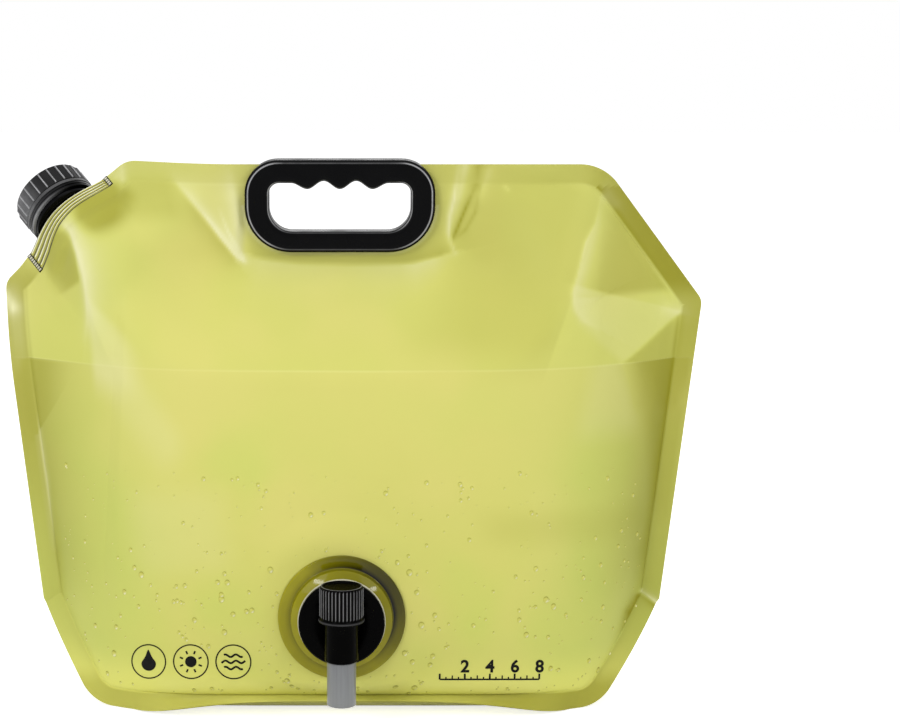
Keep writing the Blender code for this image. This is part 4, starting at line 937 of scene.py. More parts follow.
def film_grid(front, columns, rows):
    """Flat places (x, z), depths, seal shares and shares of the height of one panel, column
    by column. The side seals' columns are put before and behind the others."""
    foot, foot_out, top, top_out = paths(columns)
    lines = [(*bottom_seal(foot, foot_out, share), share, 0.0) for share in SEAL_SHARES]
    for row in rows:
        flat = foot * (1.0 - row) + top * row
        lines.append((flat, swell(flat[:, 0], flat[:, 1], row, foot[:, 0], front), 0.0, row))
    for share in SEAL_SHARES[::-1]:
        lines.append((top + top_out * SEAL_WIDTH * share, 0.0, share, 1.0))
    flats, *others = zip(*lines)
    grids = [np.stack(flats, axis=1)]
    for values in others:
        full = [np.broadcast_to(value, len(columns)) for value in values]
        grids.append(np.stack(full, axis=1))
    for end, tip, corner in ((0, OUTLINE[0], OUTLINE[1]), (-1, OUTLINE[5], OUTLINE[4])):
        blocks = side_seal(grids, end, tip, corner)
        grids = [np.concatenate((block, grid) if end == 0 else (grid, block))
                 for block, grid in zip(blocks, grids)]
    for index, before, after, radius in (
            (1, 0, 2, SHOULDER_ROUND), (4, 3, 5, SHOULDER_ROUND), (0, 7, 1, LEFT_TIP_ROUND)):
        grids[0] = corner_rounded(
            grids[0], OUTLINE[index], OUTLINE[before], OUTLINE[after], radius)
    return grids


def clustered(count, tight=0.35):
    """Shares from 0 to 1 that lie closer together at both ends."""
    even = np.linspace(0.0, 1.0, count)
    return even * (1.0 - tight) + tight * (1.0 - np.cos(math.pi * even)) / 2


def grid_normals(points):
    """Unit normals of a grid of points, all on the same side of it."""
    across, up = np.gradient(points, axis=0), np.gradient(points, axis=1)
    normals = np.cross(across, up)
    return normals / np.maximum(np.linalg.norm(normals, axis=-1), 1e-12)[..., None]


def edge_walk(grid):
    """The values along a grid's edge, once round."""
    return np.concatenate([grid[0], grid[1:, -1], grid[-1, -2::-1], grid[-2:0:-1, 0]])


def in_window(x, z, grow):
    """Inside the finger opening grown by a margin."""
    half_x = WINDOW_WIDTH / 2 + grow
    high = GRIP.z + WINDOW_HIGH + grow
    low = GRIP.z + WINDOW_HIGH - WINDOW_HEIGHT - grow
    radius = WINDOW_ROUNDS[1] + grow
    aside = np.abs(x - GRIP.x)
    inner_x = np.clip(aside - (half_x - radius), 0.0, None)
    inner_z = np.clip((low + radius) - z, 0.0, None)
    return (aside < half_x) & (z < high) & (z > low) & (np.hypot(inner_x, inner_z) < radius)


def seal_tone(x, z, seal, on_top):
    """How dark the welded bands are: the welds' own darker colour, with painted shade that differs
    from edge to edge.
    """
    top_edge = 0.16 + 0.15 * fade((x - 0.080) / 0.045) + 0.40 * fade((x - 0.120) / 0.022)
    left_edge = 0.22 + 0.43 * fade((z - 0.060) / 0.100)
    right_edge = 0.45 + 0.20 * fade((z - 0.150) / 0.060)
    foot_edge = left_edge + (right_edge - left_edge) * fade(0.5 + x / 0.040)
    foot_edge = foot_edge + 0.35 * fade((0.022 - z) / 0.012) * fade((np.abs(x) - 0.040) / 0.050)
    past_spout = fade((np.abs(spout_along(x, z)) - CANOE_LENGTH / 2) / 0.008)
    slope_edge = np.where(x < 0.0, 0.05 + 0.2 * past_spout, 0.95)
    upper = fade((z - np.where(x < 0.0, OUTLINE[1].y, OUTLINE[4].y) + 0.002) / 0.014)
    edge = np.where(on_top, top_edge, foot_edge + (slope_edge - foot_edge) * upper)
    return fade((seal - 0.02) / 0.10) * edge


def grip_shine(x, z):
    """The pale line that the film has round the lower half of the grip."""
    aside, beside = np.abs(x - GRIP.x) - GRIP_WIDTH / 2, np.abs(z - GRIP.z) - GRIP_HEIGHT / 2
    round_x = np.clip(aside + GRIP_ROUNDS[1], 0.0, None)
    round_z = np.clip(beside + GRIP_ROUNDS[1], 0.0, None)
    from_grip = np.hypot(round_x, round_z) - GRIP_ROUNDS[1]
    return 0.5 * np.exp(-((from_grip - 0.001) / 0.001) ** 2) * (z < GRIP.z)


def film_tones(front, x, z, row, seal, from_side):
    """The painted tones of a panel: welded band, painted shade at the sides, painted shade (dim)
    and highlights (pale).
    """
    # Painted shade along the sides, where the filled bag bulges away
    dark = np.exp(-(np.clip(from_side, 0.0, None) / 0.020) ** 1.3) * (seal == 0.0)
    dark = dark * fade((z - 0.035) / 0.05) * np.where(x < 0.0, 0.5, 0.8)
    on_top = (row >= 1.0) & (z > HEIGHT - 0.012)
    # A thin line of painted shade in the crease inside the side seams
    seam_crease_shade = np.exp(-((from_side - 0.0004) / 0.0012) ** 2) * 0.3 * (seal == 0.0)
    if front:
        tone = fold_height(x, z, FRONT_TONES) / MM + patch_tone(x, z, FRONT_PATCHES)
        tone = tone * np.where((seal > 0.0) & ((x > 0.0) | on_top), 0.5, 1.0)
        tone = tone + grip_shine(x, z)
    else:
        tone = fold_height(x, z, BACK_TONES) / MM
    return {"band": seal_tone(x, z, seal, on_top), "dark": dark,
            "dim": np.clip(seam_crease_shade - tone, 0.0, 1.0), "pale": np.clip(tone, 0.0, 1.0)}


CUT_EDGE_BAND = 0.8
WINDOW_MARGIN = 0.0042


def film_panel(name, front, folds, columns, rows, node):
    """One film panel with its seals, folds and the holes for the grip and the tap. A second
    ring of points turns its outer edge inwards."""
    side = -1.0 if front else 1.0
    flat, depth, seal, row = film_grid(front, columns, rows)
    x, z = flat[..., 0], flat[..., 1]
    left, right = side_edges(row)
    from_side = np.minimum(x - left, right - x)
    points = np.stack([x, lean(x, z) + side * depth, z], axis=-1)
    points += np.array(SPOUT_BACK) * (side * canoe_spread(x, z))[..., None]
    normals = grid_normals(points)
    normals *= np.sign((normals[..., 1] * side).mean())

    inner = fade(np.minimum(row, 1.0 - row) / 0.035) * (seal == 0.0)
    free = inner * fade(from_side / 0.010) * clear_of_fittings(x, z, front)
    folded = fold_height(x, z, folds) + ripple(x, z, 0.4 if front else 2.1)
    if front:
        folded = folded + dimple_height(x, z)
    face = np.where(seal > 0.0, SEAL_FACE, FILM_FACE)
    points = points + normals * (face + folded * free)[..., None]

    middle_x = (x[:-1, :-1] + x[1:, 1:]) / 2
    middle_z = (z[:-1, :-1] + z[1:, 1:]) / 2
    keep = ~in_window(middle_x, middle_z, WINDOW_MARGIN)
    if front:
        keep &= np.hypot(middle_x - TAP.x, middle_z - TAP.z) > FILM_HOLE
    width, height = seal.shape
    count = width * height
    faces = grid_faces(height, width, keep)
    ring = edge_walk(np.arange(count).reshape(width, height))
    for step in range(len(ring)):
        on = (step + 1) % len(ring)
        faces.append((ring[step], ring[on], count + on, count + step))
    inward = edge_walk(points) - edge_walk(normals) * SEAL_FACE
    vertices = np.concatenate([points.reshape(-1, 3), inward])
    mesh = mesh_of(name, vertices, faces, math.radians(50.0))

    tones = film_tones(front, x, z, row, seal, from_side)
    for label, values in tones.items():
        cut_edge = np.full(len(ring), CUT_EDGE_BAND if label == "band" else 0.0)
        tones[label] = np.concatenate([values.reshape(-1), cut_edge])
    paint(mesh, **tones)

    def clean(bm):
        loose = [vert for vert in bm.verts if not vert.link_faces]
        bmesh.ops.delete(bm, geom=loose, context="VERTS")
        if sum(face.normal.y * face.calc_area() for face in bm.faces) * side < 0.0:
            bmesh.ops.reverse_faces(bm, faces=bm.faces)
    return piece(name, reworked(mesh, clean), FILM, "root", (node,))


def fine_columns(steps):
    """Places along the panel, with so many steps in each column of every run."""
    places, start = [], 0
    for count, fine in zip(COLUMN_COUNTS, steps):
        places.append(np.linspace(start, start + count, count * fine, endpoint=False))
        start += count
    return np.append(np.concatenate(places), start)


film_front = film_panel(
    "film_front", True, FRONT_FOLDS, fine_columns((12, 5, 24, 10, 15)), clustered(238),
    "front_panel")
film_panel(
    "film_back", False, BACK_FOLDS, fine_columns((9, 4, 14, 6, 9)), clustered(150), "back_panel")

# Shares of the floor's depth, from its middle to a seal
FLOOR_STEPS = (0.4, 0.7, 0.74, 0.78, 0.83, 0.88, 0.93, 0.97, 1.0)
GUSSET_OUT = 0.0002


def film_gusset():
    """The folded floor that lets the bag stand."""
    foot, foot_out, _, _ = paths(fine_columns((5, 4, 6, 5, 5)))

    def seal_line(share, side):
        flat, depth = bottom_seal(foot, foot_out, share)
        return np.stack([flat[:, 0], side * depth, flat[:, 1]], axis=-1)

    reach = np.clip(np.abs(foot[:, 0]) - FLOOR_HALF_X, 0.0, None) / (SEAM[5].x - FLOOR_HALF_X)
    belly = FILM_FACE + (SEAM[5].y - FILM_FACE) * reach ** FLOOR_RISE
    lines = [seal_line(share, -1.0) for share in SEAL_SHARES]
    for share in np.array([-step for step in FLOOR_STEPS[::-1]] + [0.0, *FLOOR_STEPS]):
        rise = max(0.0, abs(share) - FLOOR_SHARE) / (1.0 - FLOOR_SHARE)
        height = belly + (foot[:, 1] - belly) * rise ** FLOOR_RISE
        lines.append(np.stack([foot[:, 0], share * seat_depth(foot[:, 0]), height], axis=-1))
    lines += [seal_line(share, 1.0) for share in SEAL_SHARES[::-1]]
    points = np.stack(lines, axis=1)
    normals = grid_normals(points)
    points = points + normals * GUSSET_OUT * np.sign(-normals[..., 2].mean())
    faces = grid_faces(points.shape[1], points.shape[0])
    mesh = mesh_of("film_gusset", points.reshape(-1, 3), faces)
    seal = np.zeros(points.shape[:2])
    seal[:, :SEALS] = SEAL_SHARES
    seal[:, -SEALS:] = SEAL_SHARES[::-1]
    # A quarter of the painted highlight colour lifts the whole gusset
    paint(mesh, band=0.15 * fade(seal / 0.1).reshape(-1), dark=0.0, dim=0.0, pale=0.25)
    return piece("film_gusset", mesh, FILM, "root", ("bottom_gusset",))


film_gusset()


# Filler cap, tamper ring and spout. Profiles list (radius, height, fillet)
CAP_RIBS = 24
CAP_PATTERN = (0.7, 0.7, 0.0, 0.16, 0.0, 0.16, 0.0, 0.16, 0.0, 0.16, 0.0, 0.16, 0.0, 0.0)
CAP_LOW = 0.0070
CAP_TOP = 0.0215
CAP_ROOM = 0.0171
CAP_RADIUS = 0.0204
CAP_RIM_RADIUS = 0.0208
CAP_WAIST_RADIUS = 0.0202
CAP_DISH_HEIGHT = CAP_TOP - 0.0005
NECK_RADIUS = 0.0165
NECK_WALL_RADIUS = NECK_RADIUS - 0.0005
NECK_BORE = 0.0128
THROAT = 0.0098
RING_LOW = 0.0031
RING_HIGH = 0.0067
RING_RADIUS = 0.0206
RING_LIP = 0.01715
RING_ROOM = 0.0181
RING_BRIDGES = 8
THREAD_FOOT = -0.0002


def run_out(height, low, low_run, high, high_run):
    """1 between two heights, with a straight run to 0 at both."""
    rise = min(1.0, max(0.0, (height - low) / low_run))
    fall = min(1.0, max(0.0, (high - height) / high_run))
    return min(rise, fall)


def build_cap():
    """Screw cap: long grip ribs with a fine knurl between them, a plain rim and a dished top."""
    def rib(step, radius, height):
        if radius < CAP_RADIUS - 0.0008:
            return 0.0
        out = run_out(height, 0.0094, 0.0004, CAP_TOP - 0.0004, 0.0009)
        return CAP_PATTERN[step % len(CAP_PATTERN)] * MM * out

    profile = [
        (0.0, 0.0196, 0.0), (CAP_ROOM, 0.0196, 0.0006), (CAP_ROOM, CAP_LOW, 0.0003),
        (CAP_RIM_RADIUS, CAP_LOW, 0.0005), (CAP_RIM_RADIUS, 0.0088, 0.0004),
        (CAP_WAIST_RADIUS, 0.0091, 0.0), (CAP_WAIST_RADIUS, 0.0094, 0.0),
        (CAP_RADIUS, 0.0095, 0.0), (CAP_RADIUS, 0.0100, 0.0),
        (CAP_RADIUS, CAP_TOP - 0.0014, 0.0), (CAP_RADIUS, CAP_TOP, 0.0013),
        (0.0166, CAP_TOP, 0.0004), (0.0162, CAP_DISH_HEIGHT, 0.0003),
        (0.0060, CAP_DISH_HEIGHT, 0.0), (0.0, CAP_TOP - 0.0004, 0.0),
    ]
    steps = CAP_RIBS * len(CAP_PATTERN)
    mesh = mesh_of("cap_shell", *lathe(profile, steps, SPOUT, rib))
    # Painted highlights on the rim round the top, on the lower rim and along the rib crests
    rims = ((0.0188, CAP_RADIUS, CAP_TOP - 0.0006, CAP_TOP + MM, 0.25),
            (0.0206, 0.0210, CAP_LOW, 0.0089, 0.2))
    lighter_tone = crests(profile, steps, rib, CAP_PATTERN[0] * MM, 0.9, 2, rims)
    # The soft lamp's sheen stands 0.65 of a turn round and fades within 0.08 of one
    sheen = [0.38 * math.exp(-((step / steps - 0.65) / 0.080) ** 2) * (radius > 0.0195)
             for step in range(steps) for radius, _ in filleted(profile)]
    paint(mesh, crest=np.maximum(lighter_tone, sheen))
    piece("cap_shell", outward(mesh), BLACK_CAP, "cap", ("filler_cap",))


def helix_ridge(place, radius, low, high, turns, rise, width, steps_per_turn=64):
    """Points and faces of a screw thread: a tapered ridge that runs out at both ends."""
    count = int(turns * steps_per_turn)
    points = []
    for step in range(count + 1):
        angle = 2 * math.pi * step / steps_per_turn
        height = low + (high - low) * step / count
        crest = rise * min(1.0, 4.0 * min(step, count - step) / steps_per_turn)
        for out, up in ((THREAD_FOOT, -width / 2), (crest, -width / 6),
                        (crest, width / 6), (THREAD_FOOT, width / 2)):
            reach = radius + out
            across, ahead = reach * math.cos(angle), reach * math.sin(angle)
            points.append(place @ Vector((across, ahead, height + up)))
    last = count * 4
    ends = [(0, 1, 2, 3), (last + 3, last + 2, last + 1, last)]
    return points, ring_faces(count + 1, 4) + ends


def build_tamper_ring():
    """Ring that stays on the neck, with its groove and the little bridges to the cap."""
    parts = [lathe([
        (RING_RADIUS, RING_HIGH, 0.0005), (RING_RADIUS, 0.0052, 0.0),
        (CAP_WAIST_RADIUS, 0.0050, 0.0), (CAP_WAIST_RADIUS, 0.0046, 0.0),
        (RING_RADIUS, 0.0044, 0.0), (RING_RADIUS, RING_LOW, 0.0005),
        (RING_LIP, RING_LOW, 0.0002), (RING_LIP, 0.0050, 0.0),
        (RING_ROOM, 0.0050, 0.0), (RING_ROOM, RING_HIGH, 0.0002),
    ], 144, SPOUT)]
    low, high = (0.0195, -0.0006, RING_HIGH - 0.0002), (0.0202, 0.0006, CAP_LOW - 0.00002)
    for number in range(RING_BRIDGES):
        turn = Matrix.Rotation(2 * math.pi * (number + 0.35) / RING_BRIDGES, 4, "Z")
        parts.append(box_mesh(SPOUT @ turn, low, high))
    mesh = outward(mesh_of("ring_band", *joined(*parts)))
    # Painted light: the side towards the lamps is lighter, most of all along the lower rim
    lit = SPOUT_BACK * -0.8 - SPOUT_ALONG * 0.6
    rim = RING_LOW + 0.0006
    lighter_tone = []
    for vert in mesh.vertices:
        out = vert.co - SPOUT.translation
        most = 0.7 if out.dot(SPOUT_AXIS) < rim else 0.12
        lighter_tone.append(most * max(0.0, out.normalized().dot(lit)) ** 3)
    paint(mesh, crest=lighter_tone)
    piece("ring_band", mesh, BLACK_NECK, "root", ("tamper_ring",))


def build_spout():
    """Weld base with its crimp ribs, flange and threaded neck, bored right through."""
    neck = lathe([
        (NECK_BORE, 0.0178, 0.0004), (NECK_WALL_RADIUS, 0.0178, 0.0004),
        (NECK_WALL_RADIUS, 0.0068, 0.0002), (0.0178, 0.0060, 0.0002), (0.0178, 0.0053, 0.0002),
        (NECK_RADIUS, 0.0053, 0.0), (NECK_RADIUS, 0.0028, 0.0006), (0.0192, 0.0028, 0.0006),
        (0.0192, 0.0003, 0.0004), (THROAT, 0.0003, 0.0), (THROAT, 0.0028, 0.0),
        (NECK_BORE, 0.0058, 0.0005),
    ], 120, SPOUT)
    thread = helix_ridge(SPOUT, NECK_WALL_RADIUS, 0.0092, 0.0158, 2.25, 0.00085, 0.0018)
    lugs = [box_mesh(SPOUT @ Matrix.Rotation(math.pi * turn, 4, "Z"),
                     (0.0163, -0.0007, 0.0027), (0.0186, 0.0007, 0.0046))
            for turn in (0.15, 1.15)]

    along = np.linspace(-CANOE_LENGTH / 2, CANOE_LENGTH / 2, 61)
    half = canoe_half_depth(along)
    ring = [*zip(along, half), *zip(along[::-1], -half[::-1])]
    levels = np.linspace(-CANOE_HEIGHT, 0.0006, 33)
    count = len(ring)
    points = []
    for level in levels:
        groove = 0.0005 * (0.5 - 0.5 * math.cos(2 * math.pi * (level + CANOE_HEIGHT) / 0.0030))
        for s, d in ring:
            inset_by = math.copysign(min(groove, abs(d) * 0.4), d)
            points.append(SPOUT @ Vector((s, d - inset_by, level)))
    faces = ring_faces(len(levels), count, flip=True)
    for row in (0, len(levels) - 1):
        start = len(points)
        for s, d in ring:
            angle = math.atan2(d, s)
            across, ahead = THROAT * math.cos(angle), THROAT * math.sin(angle)
            points.append(SPOUT @ Vector((across, ahead, levels[row])))
        faces += bridge(row * count, start, count, flip=True)
    faces += bridge(len(points) - 2 * count, len(points) - count, count, flip=True)
    mesh = mesh_of("spout_neck", *joined((points, faces), neck, thread, *lugs))
    piece("spout_neck", outward(mesh), BLACK_NECK, "root", ("spout_fitment",))


build_cap()
build_tamper_ring()
build_spout()


# Film welded over the spout's base: ribbed strips and the crimped ends
WELD_HALF = 0.0290
WELD_PLACES = (-0.029, -0.019, -0.004, 0.008, 0.029)
WELD_DEPTHS = (0.0134, 0.0128, 0.0090, 0.0074, 0.0064)
WELD_RIBS = 4
WELD_GRID = (84, 72)
COMB_START = 0.0288
COMB_STOP = 0.0312
COMB_TEETH = ((-1.0, WELD_DEPTHS[0], 8), (1.0, WELD_DEPTHS[-1], 4))


def build_weld():
    """The ribs that the sealing jaws press into both films along the spout's base."""
    parts, lighter_tone = [], []
    across, deep = WELD_GRID
    for side in (-1.0, 1.0):
        points = []
        for s in np.linspace(-WELD_HALF, WELD_HALF, across + 1):
            low = np.interp(s, WELD_PLACES, WELD_DEPTHS)
            face = float(canoe_half_depth(np.float64(s))) + CANOE_FILM_SLACK + FILM_FACE
            for share in np.linspace(0.0, 1.0, deep + 1):
                edge = min(1.0, share * 14.0, (1.0 - share) * 8.0, (WELD_HALF - abs(s)) / 0.0012)
                edge = max(0.0, edge)
                wave = (0.5 - 0.5 * math.cos(2 * math.pi * WELD_RIBS * share)) ** 0.7
                rise = 0.00005 + (0.00012 + 0.00085 * wave) * edge
                points.append(SPOUT @ Vector((s, side * (face + rise), 0.0002 - low * share)))
                lighter_tone.append(wave * edge)
        parts.append((points, grid_faces(deep + 1, across + 1)))
    mesh = mesh_of("spout_weld", *joined(*parts), math.radians(60.0))
    # The crest share paints shade in the valleys and highlights on the crests
    paint(mesh, crest=lighter_tone)

    def inside_out(face):
        side = (face.calc_center_median() - SPOUT_ORIGIN).dot(SPOUT_BACK)
        return face.normal.dot(SPOUT_BACK) * side < 0.0
    piece("spout_weld", turned_over(mesh, inside_out), WELD, "root")


def build_combs():
    """Crimped end of the weld at each tip of the spout's base: a dark bar with pale teeth."""
    bars, teeth = [], []
    for end, length, count in COMB_TEETH:
        for side in (-1.0, 1.0):
            bars.append(box_mesh(SPOUT, (end * COMB_START, side * 0.0017, -length),
                                 (end * COMB_STOP, side * 0.0024, 0.0002)))
            for number in range(count):
                top = -0.0004 - number * (length - 0.0004) / count
                teeth.append(box_mesh(
                    SPOUT, (end * (COMB_START + 0.0004), side * 0.0024, top - 0.0010),
                    (end * (COMB_STOP - 0.0004), side * 0.0027, top)))
    for name, parts, finish in (("spout_crimp", bars, BLACK), ("spout_teeth", teeth, PALE)):
        mesh = mesh_of(name, *joined(*parts), math.radians(20.0))
        piece(name, outward(mesh), finish, "root")


build_weld()
build_combs()


# Hand grip
GRIP_ARC_STEPS = 16
GRIP_RUN_STEPS = (128, 10, 24, 10)
CURL_STEPS = 6
GRIP_BACK_DEPTH = 0.00015


def grip_loop(half_x, high, low, rounds, wave=None):
    """Closed outline through four rounded corners; wave bends its upper run."""
    corners = [Vector((-half_x, high)), Vector((half_x, high)),
               Vector((half_x, low)), Vector((-half_x, low))]
    radii = (rounds[0], rounds[0], rounds[1], rounds[1])
    points = []
    for index, (corner, radius) in enumerate(zip(corners, radii)):
        after = corners[(index + 1) % 4]
        back, on = (corners[index - 1] - corner).normalized(), (after - corner).normalized()
        centre = corner + (back + on) * radius
        for step in range(GRIP_ARC_STEPS):
            angle = math.pi / 2 * step / GRIP_ARC_STEPS
            points.append(centre - (on * math.cos(angle) + back * math.sin(angle)) * radius)
        start, stop = corner + on * radius, after - on * radii[(index + 1) % 4]
        for step in range(GRIP_RUN_STEPS[index]):
            point = start.lerp(stop, step / GRIP_RUN_STEPS[index])
            if wave and index == 0:
                point.y += wave(point.x)
            points.append(point)
    return points


def tooth_line(x):
    """Height of the window's top edge: finger teeth drop and scallops rise."""
    reach = abs(x)
    if reach < TOOTH_PITCH:
        middle, swing = (SCALLOP_RISE - TOOTH_DROP) / 2, (SCALLOP_RISE + TOOTH_DROP) / 2
        return middle - swing * math.cos(2 * math.pi * reach / TOOTH_PITCH)
    share = min(1.0, (reach - TOOTH_PITCH) / (TOOTH_PITCH / 2))
    return -TOOTH_DROP * (1.0 + math.cos(math.pi * share)) / 2


def grip_outside(shrink):
    """The grip's outline, moved in."""
    half = GRIP_HEIGHT / 2 - shrink
    rounds = (GRIP_ROUNDS[0] - shrink, GRIP_ROUNDS[1] - 0.0003 - shrink)
    return grip_loop(GRIP_WIDTH / 2 - shrink, half, -half, rounds)


def grip_window(grow):
    """The outline of the finger window, moved out."""
    rounds = (WINDOW_ROUNDS[0] + grow, WINDOW_ROUNDS[1] + grow)
    low = WINDOW_HIGH - WINDOW_HEIGHT - grow
    return grip_loop(WINDOW_WIDTH / 2 + grow, WINDOW_HIGH + grow, low, rounds, tooth_line)


def curled(shape, steps):
    """Loops of a shape's rounded edge, for steps between its wall (0) and its face."""
    loops = []
    for step in steps:
        angle = math.pi / 2 * step
        inwards = GRIP_EDGE_ROUND * (1.0 - math.cos(angle))
        back = GRIP_EDGE_ROUND * (1.0 - math.sin(angle))
        loops.append((shape(inwards), GRIP_HALF_DEPTH - back))
    return loops


def build_grip(name, side, node):
    """One half of the grip: loops that run from its seat over the face into the window."""
    rising = [step / CURL_STEPS for step in range(CURL_STEPS + 1)]
    falling = [1.0 - step for step in rising]
    loops = [(grip_outside(0.0), GRIP_SEAT), (grip_outside(0.0), GRIP_SEAT + 0.0004)]
    loops += curled(grip_outside, rising)
    outer_rim = len(loops) - 2
    for shape, more in ((grip_outside, 0.0004), (grip_outside, 0.0016),
                        (grip_window, 0.0016), (grip_window, 0.0004)):
        loops.append((shape(GRIP_EDGE_ROUND + more), GRIP_HALF_DEPTH + 0.00005))
    window_rim = len(loops) + 3
    loops += curled(grip_window, falling)
    loops += [(grip_window(0.0), GRIP_BACK_DEPTH), (grip_window(0.0018), GRIP_BACK_DEPTH),
              (grip_window(0.0018), GRIP_SEAT)]
    points = [GRIP + Vector((p.x, side * depth, p.y)) for loop, depth in loops for p in loop]
    faces = ring_faces(len(loops), len(loops[0][0]), closed=True, flip=True)
    mesh = mesh_of(name, points, faces, math.radians(32.0))
    # Both rounded edges get a painted highlight, more so towards the ends of the grip
    lighter_tone = []
    for ring, (loop, _) in enumerate(loops):
        for p in loop:
            to_end = float(fade((abs(p.x) - 0.028) / 0.012))
            lighter_tone.append(0.2 + 0.8 * to_end if ring in (outer_rim, window_rim) else 0.0)
    paint(mesh, crest=lighter_tone)
    piece(name, outward(mesh), BLACK, "root", (node,))


build_grip("grip_front", -1.0, "handle_front")
build_grip("grip_back", 1.0, "handle_back")


# Tap port, screwed base and faucet. Profiles list (radius, height, fillet)
PORT_BORE = 0.0208
PORT_LOW = 0.00105
PORT_FLANGE = 0.00285
PORT_TOP = 0.00955
PORT_STEPS = 160
DISC_FACE = 0.01135
SHANK_SETBACK = -0.0020
TAP_SMOOTH = math.radians(35.0)


def turned(name, profile, steps, place, finish, body, slot, node, *more):
    """A finished piece turned round an axis, with more (points, faces) joined to it."""
    mesh = mesh_of(name, *joined(lathe(profile, steps, place), *more), TAP_SMOOTH)
    return piece(name, outward(mesh), finish, body, (node,))


def build_port():
    """Welded ring with its raised collar, shaded deep on one side and at the collar's foot."""
    profile = [
        (PORT_BORE, PORT_TOP - 0.0003, 0.0003), (0.0222, PORT_TOP, 0.0004),
        (0.0266, PORT_TOP - 0.0023, 0.0005), (0.0268, PORT_TOP - 0.0036, 0.0005),
        (0.0268, 0.0050, 0.0), (0.0268, PORT_FLANGE, 0.0018), (0.0300, PORT_FLANGE, 0.0),
        (0.0328, PORT_FLANGE, 0.0), (0.0336, PORT_FLANGE - 0.0002, 0.0005),
        (0.0336, PORT_LOW, 0.0003), (PORT_BORE, PORT_LOW, 0.0002),
    ]
    mesh = mesh_of("port_ring", *lathe(profile, PORT_STEPS, PORT), TAP_SMOOTH)
    deep = []
    for step in range(PORT_STEPS):
        turn = 2 * math.pi * step / PORT_STEPS
        shade = max(0.0, math.cos(turn - math.radians(35.0))) ** 0.8
        for radius, _ in filleted(profile):
            valley = max(0.0, 1.0 - abs(radius - 0.0274) / 0.0010) * 0.45
            deep.append(min(1.0, valley + (0.85 if radius > 0.0272 else 0.35) * shade))
    paint(mesh, deep=deep)
    piece("port_ring", outward(mesh), PORT_FINISH, "root", ("tap_flange",))


def build_screw_base():
    """The gasket and the threaded disc that screws into the port."""
    turned("port_gasket", [
        (0.0231, 0.01105, 0.0004), (0.0231, 0.00985, 0.0004), (PORT_BORE, 0.00985, 0.0),
        (PORT_BORE, 0.01105, 0.0),
    ], 128, PORT, PALE, "tap_travel", "pale_seal", "tap_gasket")
    thread = helix_ridge(PORT, 0.0201, 0.0046, 0.0096, 2.0, 0.0005, 0.0016, 96)
    turned("port_disc", [
        (0.0, 0.01460, 0.0), (0.0132, 0.01460, 0.0), (0.0136, 0.01475, 0.0),
        (0.0218, 0.01475, 0.0008), (0.0226, 0.0139, 0.0004), (0.0226, DISC_FACE, 0.0003),
        (0.0201, DISC_FACE, 0.0), (0.0201, 0.00355, 0.0004), (0.0177, 0.00355, 0.0003),
        (0.0177, DISC_FACE, 0.0), (0.0, DISC_FACE, 0.0),
    ], 144, PORT, BLACK_GLOSS, "tap", "black", "tap_screw_base", thread)


def build_faucet():
    """The barrel with its shank, and the soft tube at its outlet."""
    tail = lathe([
        (0.0056, 0.0268, 0.0), (0.0056, 0.0158, 0.0003), (0.0066, 0.0158, 0.0003),
        (0.0066, 0.0142, 0.0003), (0.0056, 0.0142, 0.0), (0.0056, 0.0020, 0.0004),
        (0.0034, 0.0020, 0.0), (0.0034, 0.0268, 0.0),
    ], 64, PORT @ Matrix.Translation((0.0, SHANK_SETBACK, 0.0)))
    turned("faucet_body", [
        (0.0059, 0.0078, 0.0003), (0.0088, 0.0078, 0.0002), (0.0093, 0.0072, 0.0003),
        (0.0093, 0.0066, 0.0002), (0.0088, 0.0066, 0.0002), (0.0088, -0.0158, 0.0007),
        (0.0060, -0.0158, 0.0002), (0.0060, -0.0278, 0.0005), (0.0044, -0.0278, 0.0002),
        (0.0044, -0.0096, 0.0), (0.0059, -0.0096, 0.0),
    ], 96, BARREL, BLACK_GLOSS, "tap", "black", "tap_body", tail)
    turned("faucet_tube", [
        (0.0076, -0.0161, 0.0006), (0.00755, -0.0290, 0.0), (0.0076, -0.0397, 0.0006),
        (0.0063, -0.0397, 0.0004), (0.0063, -0.0161, 0.0004),
    ], 96, BARREL, TUBE, "tap", "tube", "outlet_tube")


KNOB_RIBS = 36
KNOB_PATTERN = (0.0, 0.0, 0.3, 0.55, 0.3, 0.0)
KNOB_RADIUS = 0.0109
KNOB_TOP = 0.0241


